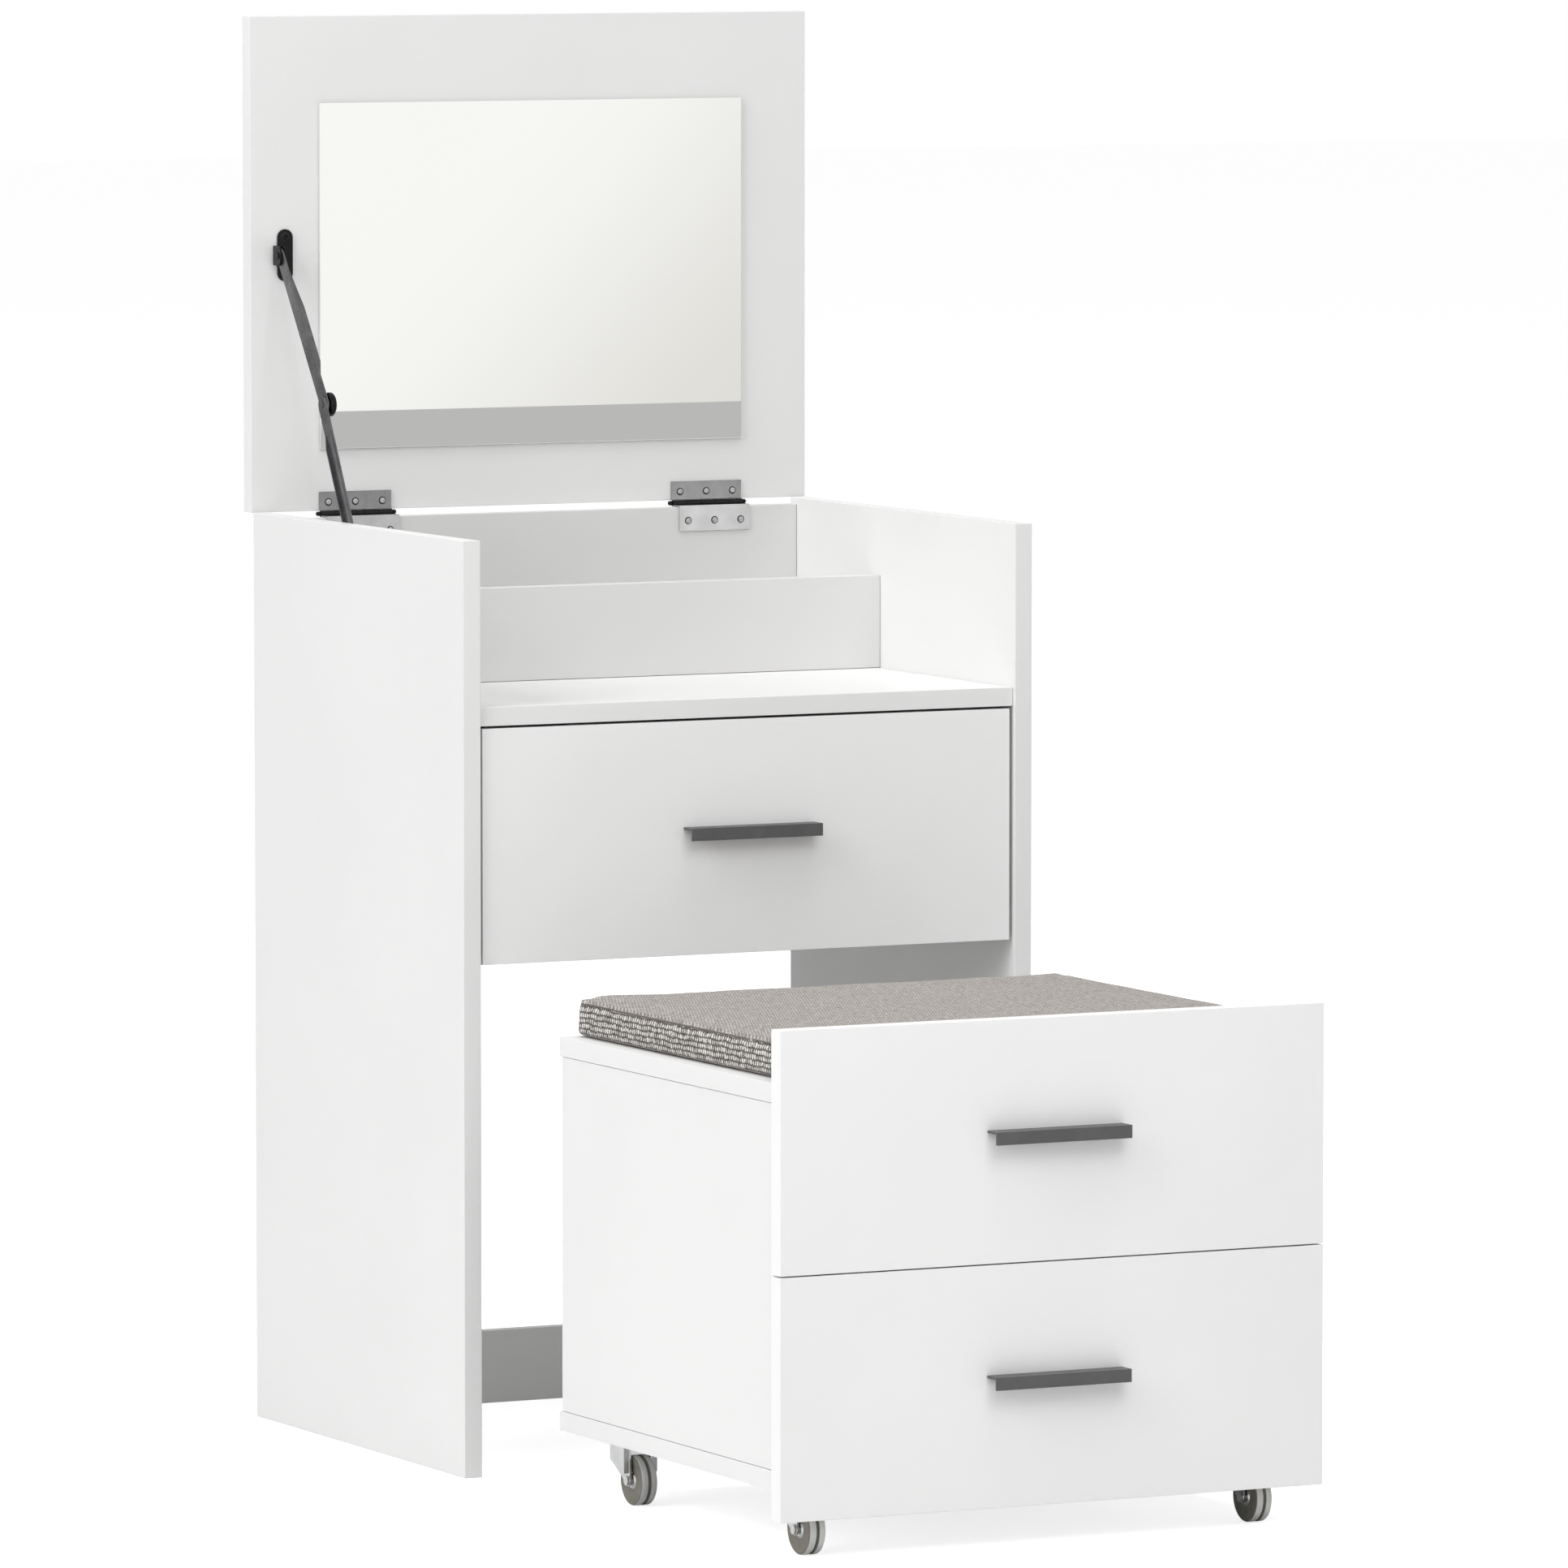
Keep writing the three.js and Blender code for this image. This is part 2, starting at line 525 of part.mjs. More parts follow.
function makeTable() {
  const table = new THREE.Group();
  table.add(makeCarcass(), makeLid(), makeUpperArm(), makeLowerArm());
  add(table, "stay_side_bracket", staySideBracketGeometry(), MATERIALS.stay);
  for (const side of [-1, 1]) {
    const prefix = `${sideWord(side)}_hinge`;
    const fixed = add(table, `${prefix}_fixed_leaf`, fixedLeafGeometry(), MATERIALS.steel);
    const moving = add(table, `${prefix}_lid_leaf`, lidLeafGeometry(), MATERIALS.steel);
    fixed.position.x = side * HINGE_X;
    moving.position.x = side * HINGE_X;
  }

  const drawer = makeDrawer("table_drawer", {
    frontWidth: TABLE_DRAWER_WIDTH,
    frontBottom: TABLE_DRAWER_BOTTOM,
    frontHeight: TABLE_DRAWER_HEIGHT,
    innerHalf: INNER_HALF,
    ...TABLE_BOX,
  });
  drawer.position.y = FRONT_INSET;
  table.add(drawer);
  for (const side of [-1, 1]) {
    const z = TABLE_BOX.boxBottom + TABLE_BOX.boxHeight / 2;
    const strip = runnerStrip(side, INNER_HALF, TABLE_RUNNER_SPAN, z);
    add(table, `table_${sideWord(side)}_runner`, strip, MATERIALS.runner);
  }
  table.position.y = TABLE_FRONT_Y;
  return table;
}

// One caster about its own swivel axis: a plate with its kingpin, a fork with its axle, and a wheel.
function makeCaster(prefix) {
  const caster = new THREE.Group();
  const plateTop = STOOL_BOTTOM - GAP;
  const plateBottom = plateTop - CASTER_PLATE[1];
  const raceBottom = plateBottom - RACE[1];
  const webTop = raceBottom - GAP;
  const webBottom = webTop - STRIP_METAL;
  const halfPlate = CASTER_PLATE[0] / 2;
  const plate = combine([
    boxBetween([-halfPlate, -halfPlate, plateBottom], [halfPlate, halfPlate, plateTop]),
    barAlongZ(RACE[0], raceBottom, plateBottom + 0.5),
    barAlongZ(KINGPIN_RADIUS, webBottom - 1.5, raceBottom + 0.5),
    barAlongZ(KINGPIN_RADIUS + 2, webBottom - 2, webBottom - GAP),
  ]);
  add(caster, `${prefix}_plate`, plate, MATERIALS.zinc);

  const axle = [-CASTER_TRAIL, WHEEL_RADIUS];
  const cheekOuter = FORK_CHEEK_X + STRIP_METAL;
  const cheek = new THREE.Shape();
  cheek.absarc(axle[0], axle[1], CHEEK_NOSE, 0.85 * Math.PI, 1.8 * Math.PI, false);
  cheek.lineTo(axle[0] + CHEEK_SLOPE[0], axle[1] + CHEEK_SLOPE[1]);
  cheek.lineTo(axle[0] + FORK_REACH, axle[1] + CHEEK_SLOPE[2]);
  cheek.lineTo(axle[0] + FORK_REACH, webTop);
  cheek.lineTo(axle[0] - CHEEK_FRONT, webTop);
  const pieces = [
    boxBetween([-cheekOuter, axle[0] + 4, webBottom], [cheekOuter, axle[0] + FORK_REACH, webTop]),
    barAlongX(AXLE_RADIUS, -cheekOuter - 1, cheekOuter + 1, axle),
  ];
  for (const side of [-1, 1]) {
    pieces.push(plateAcrossX(cheek, ...onSide(side, FORK_CHEEK_X, cheekOuter)));
    const [flangeLow, flangeHigh] = onSide(side, FORK_CHEEK_X, cheekOuter + FORK_FLANGE);
    const flangeFront = axle[0] - CHEEK_FRONT;
    const flangeBack = flangeFront + STRIP_METAL;
    pieces.push(boxBetween([flangeLow, flangeFront, axle[1] + 6], [flangeHigh, flangeBack, webTop]));
    const headXs = onSide(side, cheekOuter - 0.2, cheekOuter + AXLE_HEAD[1]);
    pieces.push(barAlongX(AXLE_HEAD[0], ...headXs, axle));
  }
  const fork = combine(pieces, [barAlongZ(KINGPIN_RADIUS + 0.5, webBottom - 1, webTop + 1)]);
  add(caster, `${prefix}_fork`, fork, MATERIALS.zinc);

  const w = WHEEL_HALF_WIDTH;
  const r = WHEEL_RADIUS;
  const half = [
    [AXLE_RADIUS + 0.3, w],
    [6.5, w],
    [7.2, w - 1],
    [r - 3.2, w - 1],
    [r - 2, w],
    [r - 1, w - 0.3],
    [r, w - 1.5],
    [r, 1],
    [r - 1, 0.8],
  ];
  const profile = [...half.map(([radius, x]) => [radius, -x]), ...half.reverse()];
  const wheel = turnedAboutX([...profile, profile[0]]);
  add(caster, `${prefix}_wheel`, wheel.translate(0, ...axle), MATERIALS.rubber);
  return caster;
}

function makeStool() {
  const stool = new THREE.Group();
  const half = STOOL_WIDTH / 2;
  const sideOuter = half - STOOL_SIDE_INSET;
  const innerHalf = sideOuter - BOARD;
  const bodyFront = BOARD + GAP;
  const floorTop = STOOL_BOTTOM + BOARD;
  const topBottom = STOOL_TOP - BOARD;
  const boards = {
    stool_bottom_board: boxAcross(half, [bodyFront, STOOL_BOTTOM], [STOOL_DEPTH, floorTop]),
    stool_top_board: boxAcross(half, [bodyFront, topBottom], [STOOL_DEPTH, STOOL_TOP]),
    stool_back_board: boxAcross(
      innerHalf - GAP,
      [STOOL_SIDE_BACK - THIN_BOARD, floorTop + GAP],
      [STOOL_SIDE_BACK, topBottom - GAP],
    ),
  };
  for (const [name, geometry] of Object.entries(boards)) {
    add(stool, name, geometry, MATERIALS.board);
  }
  for (const side of [-1, 1]) {
    const xs = onSide(side, sideOuter, innerHalf);
    const low = [xs[0], bodyFront, floorTop + GAP];
    const high = [xs[1], STOOL_SIDE_BACK, topBottom - GAP];
    add(stool, `stool_${sideWord(side)}_side`, boxBetween(low, high), MATERIALS.board);
  }

  const cushionFront = BOARD + 2;
  const cushionHeight = CUSHION_TOP - STOOL_TOP - GAP;
  const cushionSize = [CUSHION_WIDTH, CUSHION_BACK - cushionFront, cushionHeight];
  const cushion = new RoundedBoxGeometry(...cushionSize, 3, CUSHION_ROUNDING);
  cushion.translate(0, (cushionFront + CUSHION_BACK) / 2, CUSHION_TOP - cushionHeight / 2);
  add(stool, "stool_cushion", cushion, MATERIALS.fabric);

  const frontBottoms = {
    lower: STOOL_FRONT_BOTTOM,
    upper: STOOL_FRONT_BOTTOM + STOOL_FRONT_HEIGHT + STOOL_FRONT_SEAM,
  };
  for (const [row, boxBottom] of Object.entries(STOOL_BOX_BOTTOMS)) {
    const drawer = makeDrawer(`stool_${row}_drawer`, {
      frontWidth: STOOL_FRONT_WIDTH,
      frontBottom: frontBottoms[row],
      frontHeight: STOOL_FRONT_HEIGHT,
      innerHalf,
      boxBottom,
      ...STOOL_BOX,
    });
    stool.add(drawer);
    for (const side of [-1, 1]) {
      const z = boxBottom + STOOL_BOX.boxHeight / 2;
      const strip = runnerStrip(side, innerHalf, STOOL_RUNNER_SPAN, z);
      add(stool, `stool_${row}_${sideWord(side)}_runner`, strip, MATERIALS.runner);
    }
  }

  for (const [end, y] of Object.entries(CASTER_SWIVELS)) {
    for (const side of [-1, 1]) {
      const caster = makeCaster(`caster_${end}_${sideWord(side)}`);
      caster.position.set(side * CASTER_X, y, 0);
      stool.add(caster);
    }
  }
  stool.position.y = STOOL_FRONT_Y;
  return stool;
}

const vanity = new THREE.Group();
vanity.add(makeTable(), makeStool());

export default vanity;
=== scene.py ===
"""The looks of a narrow white dressing table: flip-up mirror lid, stay, drawer and rolling stool.

Metres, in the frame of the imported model: +Z up, +X to the right, +Y towards the wall.
"""

import math

import bmesh
import bpy
from mathutils import Matrix, Vector
from mathutils.bvhtree import BVHTree


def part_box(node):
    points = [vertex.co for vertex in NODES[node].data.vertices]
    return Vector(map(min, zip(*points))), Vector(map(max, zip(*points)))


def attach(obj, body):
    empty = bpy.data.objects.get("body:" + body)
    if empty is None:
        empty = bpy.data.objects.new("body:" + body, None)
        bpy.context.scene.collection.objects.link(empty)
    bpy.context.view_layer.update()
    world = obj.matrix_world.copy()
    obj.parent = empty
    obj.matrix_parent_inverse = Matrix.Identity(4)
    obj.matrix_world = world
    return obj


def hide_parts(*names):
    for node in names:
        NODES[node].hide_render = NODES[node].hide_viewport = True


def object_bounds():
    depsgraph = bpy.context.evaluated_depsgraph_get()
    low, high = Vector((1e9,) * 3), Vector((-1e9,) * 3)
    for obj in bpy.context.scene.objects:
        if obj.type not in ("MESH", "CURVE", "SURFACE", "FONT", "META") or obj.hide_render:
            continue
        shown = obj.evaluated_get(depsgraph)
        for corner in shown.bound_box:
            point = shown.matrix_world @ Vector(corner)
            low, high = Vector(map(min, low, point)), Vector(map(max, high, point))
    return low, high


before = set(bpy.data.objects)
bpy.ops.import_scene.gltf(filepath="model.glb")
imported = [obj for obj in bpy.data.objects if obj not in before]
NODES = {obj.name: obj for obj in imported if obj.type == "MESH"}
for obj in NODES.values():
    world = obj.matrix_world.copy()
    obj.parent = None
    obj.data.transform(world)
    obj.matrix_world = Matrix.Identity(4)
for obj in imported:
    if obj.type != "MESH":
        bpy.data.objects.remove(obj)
CAD_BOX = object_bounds()

MM = 0.001
SIDES = ("left", "right")
CASTERS = [f"caster_{end}_{side}" for end in ("front", "rear") for side in SIDES]

# Rounding of the edges of each kind of part
BOARD_EDGE = 0.5 * MM
METAL_EDGE = 0.25 * MM
HANDLE_EDGE = 0.45 * MM
PLASTIC_EDGE = 0.8 * MM
GLASS_EDGE = 0.5 * MM

HINGE_PIN = (0.0, 456.45 * MM, 732.7 * MM)  # a point on the axis of the lid's hinges
BARREL_SHADE_REACH = 2.9 * MM  # how far from that axis the steel is painted nearly black, as painted shade

# Camera: looks at a point on the table's middle plane from the front left, a little downwards
CAMERA_TARGET = Vector((0.0013, 0.0, 0.5403))
CAMERA_DISTANCE = 9.375
CAMERA_YAW = math.radians(26.553)
CAMERA_PITCH = math.radians(4.809)
CAMERA_LENS = 274.5
SENSOR = 36.0

# Studio
AMBIENT = 0.3  # how strongly the surroundings light the object; they look white all the same
REFLECTED = 0.75  # how bright they are in reflections
LIGHT_TARGET = Vector((0.0, 0.0, 0.55))
FLOOR_REACH = 30.0
FLOOR_DROP = 0.2 * MM  # how far the floor lies under the lowest part
WALL_DISTANCE = 6.0  # from the table's back forward to the wall that reflections see
WALL_HALF_WIDTH = 14.0
WALL_HEIGHT = 5.0
WALL_FOOT = 0.468  # height of its grey foot
WALL_DIAGONAL = (1.95, 2.75)  # where its shade starts and ends, as x less z

# Cushion
CUSHION_CORNER = 8 * MM
CUSHION_VOXEL = 5 * MM
CUSHION_SHRINK = 1.2 * MM  # the form that the simulation swells starts this much smaller on each side
CUSHION_START_DROP = 8 * MM  # from the top of the CAD solid down to the top of that form
CUSHION_SWELL = 5 * MM  # the most that a point may move
CUSHION_SEAM_DROP = 10 * MM  # from the top of the CAD solid down to the seam
CUSHION_FOOT = 4 * MM  # height of the rounding along its lower edge
CUSHION_PRESSURE = 4.0
CORNER_PULL = 0.3  # the share kept of any move towards the middle
SHOULDER_RISE = 4 * MM  # from the seam up to where the top turns level
SHOULDER_WIDTH = 3 * MM
CUSHION_FRAMES = 20
SEAM_DEPTH = 0.6 * MM  # how far the seam pulls the cloth in
SEAM_WIDTH = 1.4 * MM
FOOT_DEPTH = 2.2 * MM  # how far the lower edge turns in
RIPPLE = 0.2 * MM  # unevenness of the top
SEAM_POINTS = 60  # along each side of the cushion
SEAM_RAY_START = 14 * MM  # in from the cushion's sides, where the search for its skin starts
CORD_RADIUS = 0.75 * MM
CORD_TWIST = 3.1 * MM

# Fasteners: the radius of each kind of screw head, and where the screws sit
SCREW_COLLAR = 1.28  # radius of the ring of painted shade round a head, against the head's
HINGE_SCREW = 2.5 * MM
HINGE_SCREW_SPACING = 24 * MM
HINGE_LEAF = 1.2 * MM  # thickness of a hinge's sheet metal
LID_LEAF_INSET = 8.4 * MM  # from the top of a lid leaf down to its screws
FIXED_LEAF_INSET = 8.6 * MM  # from the foot of a fixed leaf up to its screws
STAY_SCREW = 2.9 * MM
STAY_SCREW_REACH = (15 * MM, -15 * MM)  # from the middle of a stay bracket to its screws
STAY_PLATE = 1.3 * MM  # thickness of a stay bracket's plate
STAY_PLATE_HALF_WIDTH = 6.75 * MM
CASTER_SCREW = 2.6 * MM
CASTER_SCREW_INSET = 5 * MM  # from the edges of a caster's plate
CASTER_PLATE = 2 * MM
LATHE_STEPS = 96


# ---------------------------------------------------------------- shading helpers


def new_material(name):
    """A material with an empty Principled shader, and its node tree."""
    material = bpy.data.materials.new(name)
    material.use_nodes = True
    tree = material.node_tree
    return material, tree, tree.nodes["Principled BSDF"]


def add_node(tree, kind, **settings):
    node = tree.nodes.new(kind)
    for key, value in settings.items():
        if key in node.inputs:
            node.inputs[key].default_value = value
        else:
            setattr(node, key, value)
    return node


def math_node(tree, operation, a, b=None):
    """The output of a Math node of two sockets or numbers."""
    node = add_node(tree, "ShaderNodeMath", operation=operation)
    for socket, value in zip(node.inputs, (a, b)):
        if isinstance(value, bpy.types.NodeSocket):
            tree.links.new(value, socket)
        elif value is not None:
            socket.default_value = value
    return node.outputs[0]


def vector_node(tree, operation, socket, constant=(0.0, 0.0, 0.0)):
    """A Vector Math node of a socket and a constant."""
    node = add_node(tree, "ShaderNodeVectorMath", operation=operation)
    tree.links.new(socket, node.inputs[0])
    node.inputs[1].default_value = constant
    return node


def object_place(tree):
    return add_node(tree, "ShaderNodeTexCoord").outputs["Object"]


def noise(tree, place, scale, detail=3.0, roughness=0.55, stretch=None):
    """Noise in the object's own metres: scale is in cycles for each metre."""
    if stretch is not None:
        mapping = add_node(tree, "ShaderNodeMapping")
        mapping.inputs["Scale"].default_value = stretch
        tree.links.new(place, mapping.inputs["Vector"])
        place = mapping.outputs["Vector"]
    node = add_node(tree, "ShaderNodeTexNoise", Scale=scale, Detail=detail, Roughness=roughness)
    tree.links.new(place, node.inputs["Vector"])
    return node.outputs["Fac"]


def spread(tree, value, low, high):
    """A noise value, which stays near one half, mapped to the range from low to high."""
    node = add_node(tree, "ShaderNodeMapRange")
    node.inputs["From Min"].default_value = 0.3
    node.inputs["From Max"].default_value = 0.7
    node.inputs["To Min"].default_value = low
    node.inputs["To Max"].default_value = high
    tree.links.new(value, node.inputs["Value"])
    return node.outputs["Result"]


def colour_sockets(node):
    """The colour inputs A and B, and the colour result, of a Mix node."""
    inputs = [socket for socket in node.inputs if socket.type == "RGBA"]
    result = next(socket for socket in node.outputs if socket.type == "RGBA")
    return inputs, result


def blend_colours(tree, factor, low, high):
    """Colour low where factor is 0 and high where it is 1; both are colours or colour sockets."""
    node = add_node(tree, "ShaderNodeMix", data_type="RGBA")
    inputs, result = colour_sockets(node)
    tree.links.new(factor, node.inputs[0])
    for socket, colour in zip(inputs, (low, high)):
        if isinstance(colour, bpy.types.NodeSocket):
            tree.links.new(colour, socket)
        else:
            socket.default_value = (*colour, 1.0)
    return result


def bump(tree, shader, height, distance, strength=1.0):
    node = add_node(tree, "ShaderNodeBump", Strength=strength, Distance=distance)
    tree.links.new(height, node.inputs["Height"])
    tree.links.new(node.outputs["Normal"], shader.inputs["Normal"])


def varied(name, low, high, scale, rough, metallic=0.0, grain=None, **sockets):
    """A finish whose colour and roughness drift, with a fine grain of (scale, depth, stretch)."""
    material, tree, shader = new_material(name)
    place = object_place(tree)
    drift = noise(tree, place, scale)
    colour = blend_colours(tree, spread(tree, drift, 0.0, 1.0), low, high)
    tree.links.new(colour, shader.inputs["Base Color"])
    stretch = grain[2] if grain else None
    fine = noise(tree, place, grain[0] if grain else scale * 9, detail=2.0, stretch=stretch)
    tree.links.new(spread(tree, fine, rough[0], rough[1]), shader.inputs["Roughness"])
    shader.inputs["Metallic"].default_value = metallic
    if grain:
        bump(tree, shader, fine, grain[1])
    for key, value in sockets.items():
        shader.inputs[key.replace("_", " ")].default_value = value
    return material


# ---------------------------------------------------------------- materials


def make_melamine(name, low, high):
    """White melamine paper on chipboard: a faint pearl grain and a slightly varied satin sheen."""
    return varied(
        name,
        low,
        high,
        scale=7.0,
        rough=(0.34, 0.44),
        grain=(900.0, 0.02 * MM, None),
        Specular_IOR_Level=0.42,
    )


def make_hardboard():
    return varied(
        "white_hardboard",
        (0.70, 0.69, 0.66),
        (0.78, 0.77, 0.75),
        scale=30.0,
        rough=(0.5, 0.68),
        grain=(1400.0, 0.04 * MM, None),
    )


def make_mirror():
    """Silvered glass with a trace of smear in its gloss."""
    return varied(
        "mirror_silver",
        (0.955, 0.955, 0.945),
        (0.965, 0.965, 0.957),
        scale=4.0,
        rough=(0.002, 0.006),
        metallic=1.0,
    )


def make_hinge_steel(name, low, high):
    """Nickel-plated pressed steel, brushed along the hinge. Each leaf gets its own copy in a tone of
    painted reflection: darker on the lid leaf, lighter on the fixed leaf. The barrel round the pin is
    painted nearly black, as painted shade.
    """
    material = varied(
        name,
        low,
        high,
        scale=45.0,
        rough=(0.16, 0.26),
        metallic=1.0,
        grain=(300.0, 0.006 * MM, (1.0, 14.0, 14.0)),
    )
    tree = material.node_tree
    base = tree.nodes["Principled BSDF"].inputs["Base Color"]
    leaf_colour = base.links[0].from_socket
    # Painted shade: the steel close round the pin's axis is painted nearly black
    from_pin = vector_node(tree, "SUBTRACT", object_place(tree), HINGE_PIN)
    across_pin = vector_node(tree, "MULTIPLY", from_pin.outputs["Vector"], (0.0, 1.0, 1.0))
    distance = vector_node(tree, "LENGTH", across_pin.outputs["Vector"]).outputs["Value"]
    in_barrel_shade = math_node(tree, "LESS_THAN", distance, BARREL_SHADE_REACH)
    tree.links.new(blend_colours(tree, in_barrel_shade, leaf_colour, (0.03, 0.03, 0.031)), base)
    return material


def make_chrome():
    return varied(
        "screw_chrome",
        (0.52, 0.52, 0.53),
        (0.62, 0.62, 0.63),
        scale=200.0,
        rough=(0.08, 0.16),
        metallic=1.0,
        grain=(2500.0, 0.002 * MM, None),
    )


def make_stay_metal():
    """Black nickel plating with a brushed grain along the arms."""
    return varied(
        "black_nickel",
        (0.125, 0.125, 0.13),
        (0.20, 0.20, 0.206),
        scale=60.0,
        rough=(0.2, 0.32),
        metallic=0.85,
        grain=(700.0, 0.012 * MM, (8.0, 1.0, 1.0)),
    )


def make_black_enamel():
    return varied(
        "black_enamel",
        (0.005, 0.005, 0.0055),
        (0.010, 0.010, 0.0105),
        scale=80.0,
        rough=(0.16, 0.26),
        grain=(1500.0, 0.01 * MM, None),
        Specular_IOR_Level=0.2,
    )


def make_powder_coat():
    """Dark grey powder coat: fine, even, satin texture."""
    return varied(
        "graphite_powder_coat",
        (0.078, 0.078, 0.079),
        (0.092, 0.092, 0.093),
        scale=60.0,
        rough=(0.42, 0.56),
        grain=(2600.0, 0.05 * MM, None),
        Specular_IOR_Level=0.4,
    )


def make_runner_plastic():
    return varied(
        "white_plastic",
        (0.72, 0.72, 0.70),
        (0.78, 0.78, 0.77),
        scale=40.0,
        rough=(0.38, 0.5),
        grain=(1800.0, 0.02 * MM, None),
    )


def make_zinc():
    """Bright zinc plating with faint spangle."""
    return varied(
        "bright_zinc",
        (0.64, 0.645, 0.65),
        (0.74, 0.745, 0.75),
        scale=110.0,
        rough=(0.17, 0.26),
        metallic=1.0,
        grain=(700.0, 0.006 * MM, (1.0, 1.0, 4.0)),
    )


def make_screw_ring_painted_shade():
    """Painted shade: a dark ring round a screw's head, in place of the shade in the countersink it is
    sunk in.
    """
    return varied(
        "screw_ring_painted_shade",
        (0.012, 0.012, 0.012),
        (0.03, 0.03, 0.03),
        scale=400.0,
        rough=(0.5, 0.7),
        grain=(3000.0, 0.01 * MM, None),
        Specular_IOR_Level=0.2,
    )


def make_rubber(name, low, high):
    return varied(name, low, high, scale=120.0, rough=(0.5, 0.66), grain=(2400.0, 0.03 * MM, None))


def yarn_row(tree, value, sharpness):
    """A row of rounded yarns along a coordinate, one to each whole number."""
    half_turn = math_node(tree, "MULTIPLY", math_node(tree, "FRACT", value), math.pi)
    return math_node(tree, "POWER", math_node(tree, "SINE", half_turn), sharpness)


def weave_coordinates(tree, on_top):
    """Metres along and across the cloth. The side band runs round the cushion, with height across."""
    coordinates = add_node(tree, "ShaderNodeTexCoord")
    place = add_node(tree, "ShaderNodeSeparateXYZ")
    tree.links.new(coordinates.outputs["Object"], place.inputs[0])
    if on_top:
        return place.outputs["X"], place.outputs["Y"]
    facing = add_node(tree, "ShaderNodeSeparateXYZ")
    tree.links.new(coordinates.outputs["Normal"], facing.inputs[0])
    toward_x = math_node(tree, "ABSOLUTE", facing.outputs["X"])
    toward_y = math_node(tree, "ABSOLUTE", facing.outputs["Y"])
    is_flank = math_node(tree, "GREATER_THAN", toward_x, toward_y)
    along = add_node(tree, "ShaderNodeMix", data_type="FLOAT")
    tree.links.new(is_flank, along.inputs[0])
    tree.links.new(place.outputs["X"], along.inputs[2])
    tree.links.new(place.outputs["Y"], along.inputs[3])
    return along.outputs[0], place.outputs["Z"]


def make_weave(name, pitch, light, dark, contrast, depth, slubs, on_top):
    """Basket weave: rows of light yarn with dark gaps, every other row shifted by half a stitch."""
    material, tree, shader = new_material(name)
    place = object_place(tree)
    wander = noise(tree, place, 60.0, detail=2.0)
    unevenness = noise(tree, place, 480.0, detail=1.0)
    sway = math_node(tree, "MULTIPLY", math_node(tree, "SUBTRACT", wander, 0.5), 0.8)
    jitter = math_node(tree, "SUBTRACT", unevenness, 0.5)
    offset = math_node(tree, "ADD", sway, jitter)
    along, across = weave_coordinates(tree, on_top)
    along = math_node(tree, "ADD", math_node(tree, "DIVIDE", along, pitch[0]), offset)
    offset = math_node(tree, "ADD", sway, math_node(tree, "MULTIPLY", jitter, 0.5))
    across = math_node(tree, "ADD", math_node(tree, "DIVIDE", across, pitch[1]), offset)
    row = math_node(tree, "FLOOR", across)
    shifted = math_node(tree, "ADD", along, math_node(tree, "MULTIPLY", row, 0.5))
    yarn = math_node(tree, "MULTIPLY", yarn_row(tree, shifted, 0.9), yarn_row(tree, across, 0.6))
    stitch = add_node(tree, "ShaderNodeCombineXYZ")
    tree.links.new(math_node(tree, "FLOOR", shifted), stitch.inputs["X"])
    tree.links.new(row, stitch.inputs["Y"])
    cell = add_node(tree, "ShaderNodeTexWhiteNoise", noise_dimensions="2D")
    tree.links.new(stitch.outputs[0], cell.inputs["Vector"])
    fibre = noise(tree, place, 2200.0, detail=2.0)
    slub_stretch = (700.0, 90.0, 90.0) if on_top else (90.0, 90.0, 420.0)
    slub = noise(tree, place, 1.0, detail=2.0, stretch=slub_stretch)
    shade = math_node(tree, "MULTIPLY", yarn, spread(tree, cell.outputs["Value"], 0.65, 1.0))
    shade = math_node(tree, "MULTIPLY", shade, spread(tree, fibre, 0.65, 1.1))
    shade = math_node(tree, "MULTIPLY", shade, spread(tree, slub, *slubs))
    ramp = add_node(tree, "ShaderNodeMapRange", interpolation_type="SMOOTHSTEP")
    ramp.inputs["From Min"].default_value = contrast[0]
    ramp.inputs["From Max"].default_value = contrast[1]
    tree.links.new(shade, ramp.inputs["Value"])
    colour = blend_colours(tree, ramp.outputs["Result"], dark, light)
    tree.links.new(colour, shader.inputs["Base Color"])
    tree.links.new(spread(tree, fibre, 0.85, 0.97), shader.inputs["Roughness"])
    shader.inputs["Specular IOR Level"].default_value = 0.2
    shader.inputs["Sheen Weight"].default_value = 0.12
    shader.inputs["Sheen Roughness"].default_value = 0.5
    bump(tree, shader, shade, depth, 0.9)
    return material


def make_cord_material():
    """Dark piping cord, twisted: thin light strands on brown-grey."""
    material, tree, shader = new_material("twisted_cord")
    place = object_place(tree)
    axes = add_node(tree, "ShaderNodeSeparateXYZ")
    tree.links.new(place, axes.inputs[0])
    along = math_node(tree, "ADD", axes.outputs["X"], axes.outputs["Y"])
    slanted = math_node(tree, "ADD", along, math_node(tree, "MULTIPLY", axes.outputs["Z"], 1.2))
    twist = yarn_row(tree, math_node(tree, "DIVIDE", slanted, CORD_TWIST), 1.5)
    fibre = noise(tree, place, 1500.0, detail=2.0)
    shade = math_node(tree, "MULTIPLY", twist, spread(tree, fibre, 0.5, 1.1))
    light, dark = (0.30, 0.27, 0.245), (0.03, 0.026, 0.022)
    tree.links.new(blend_colours(tree, shade, dark, light), shader.inputs["Base Color"])
    tree.links.new(spread(tree, fibre, 0.8, 0.95), shader.inputs["Roughness"])
    shader.inputs["Specular IOR Level"].default_value = 0.2
    bump(tree, shader, shade, 0.4 * MM)
    return material


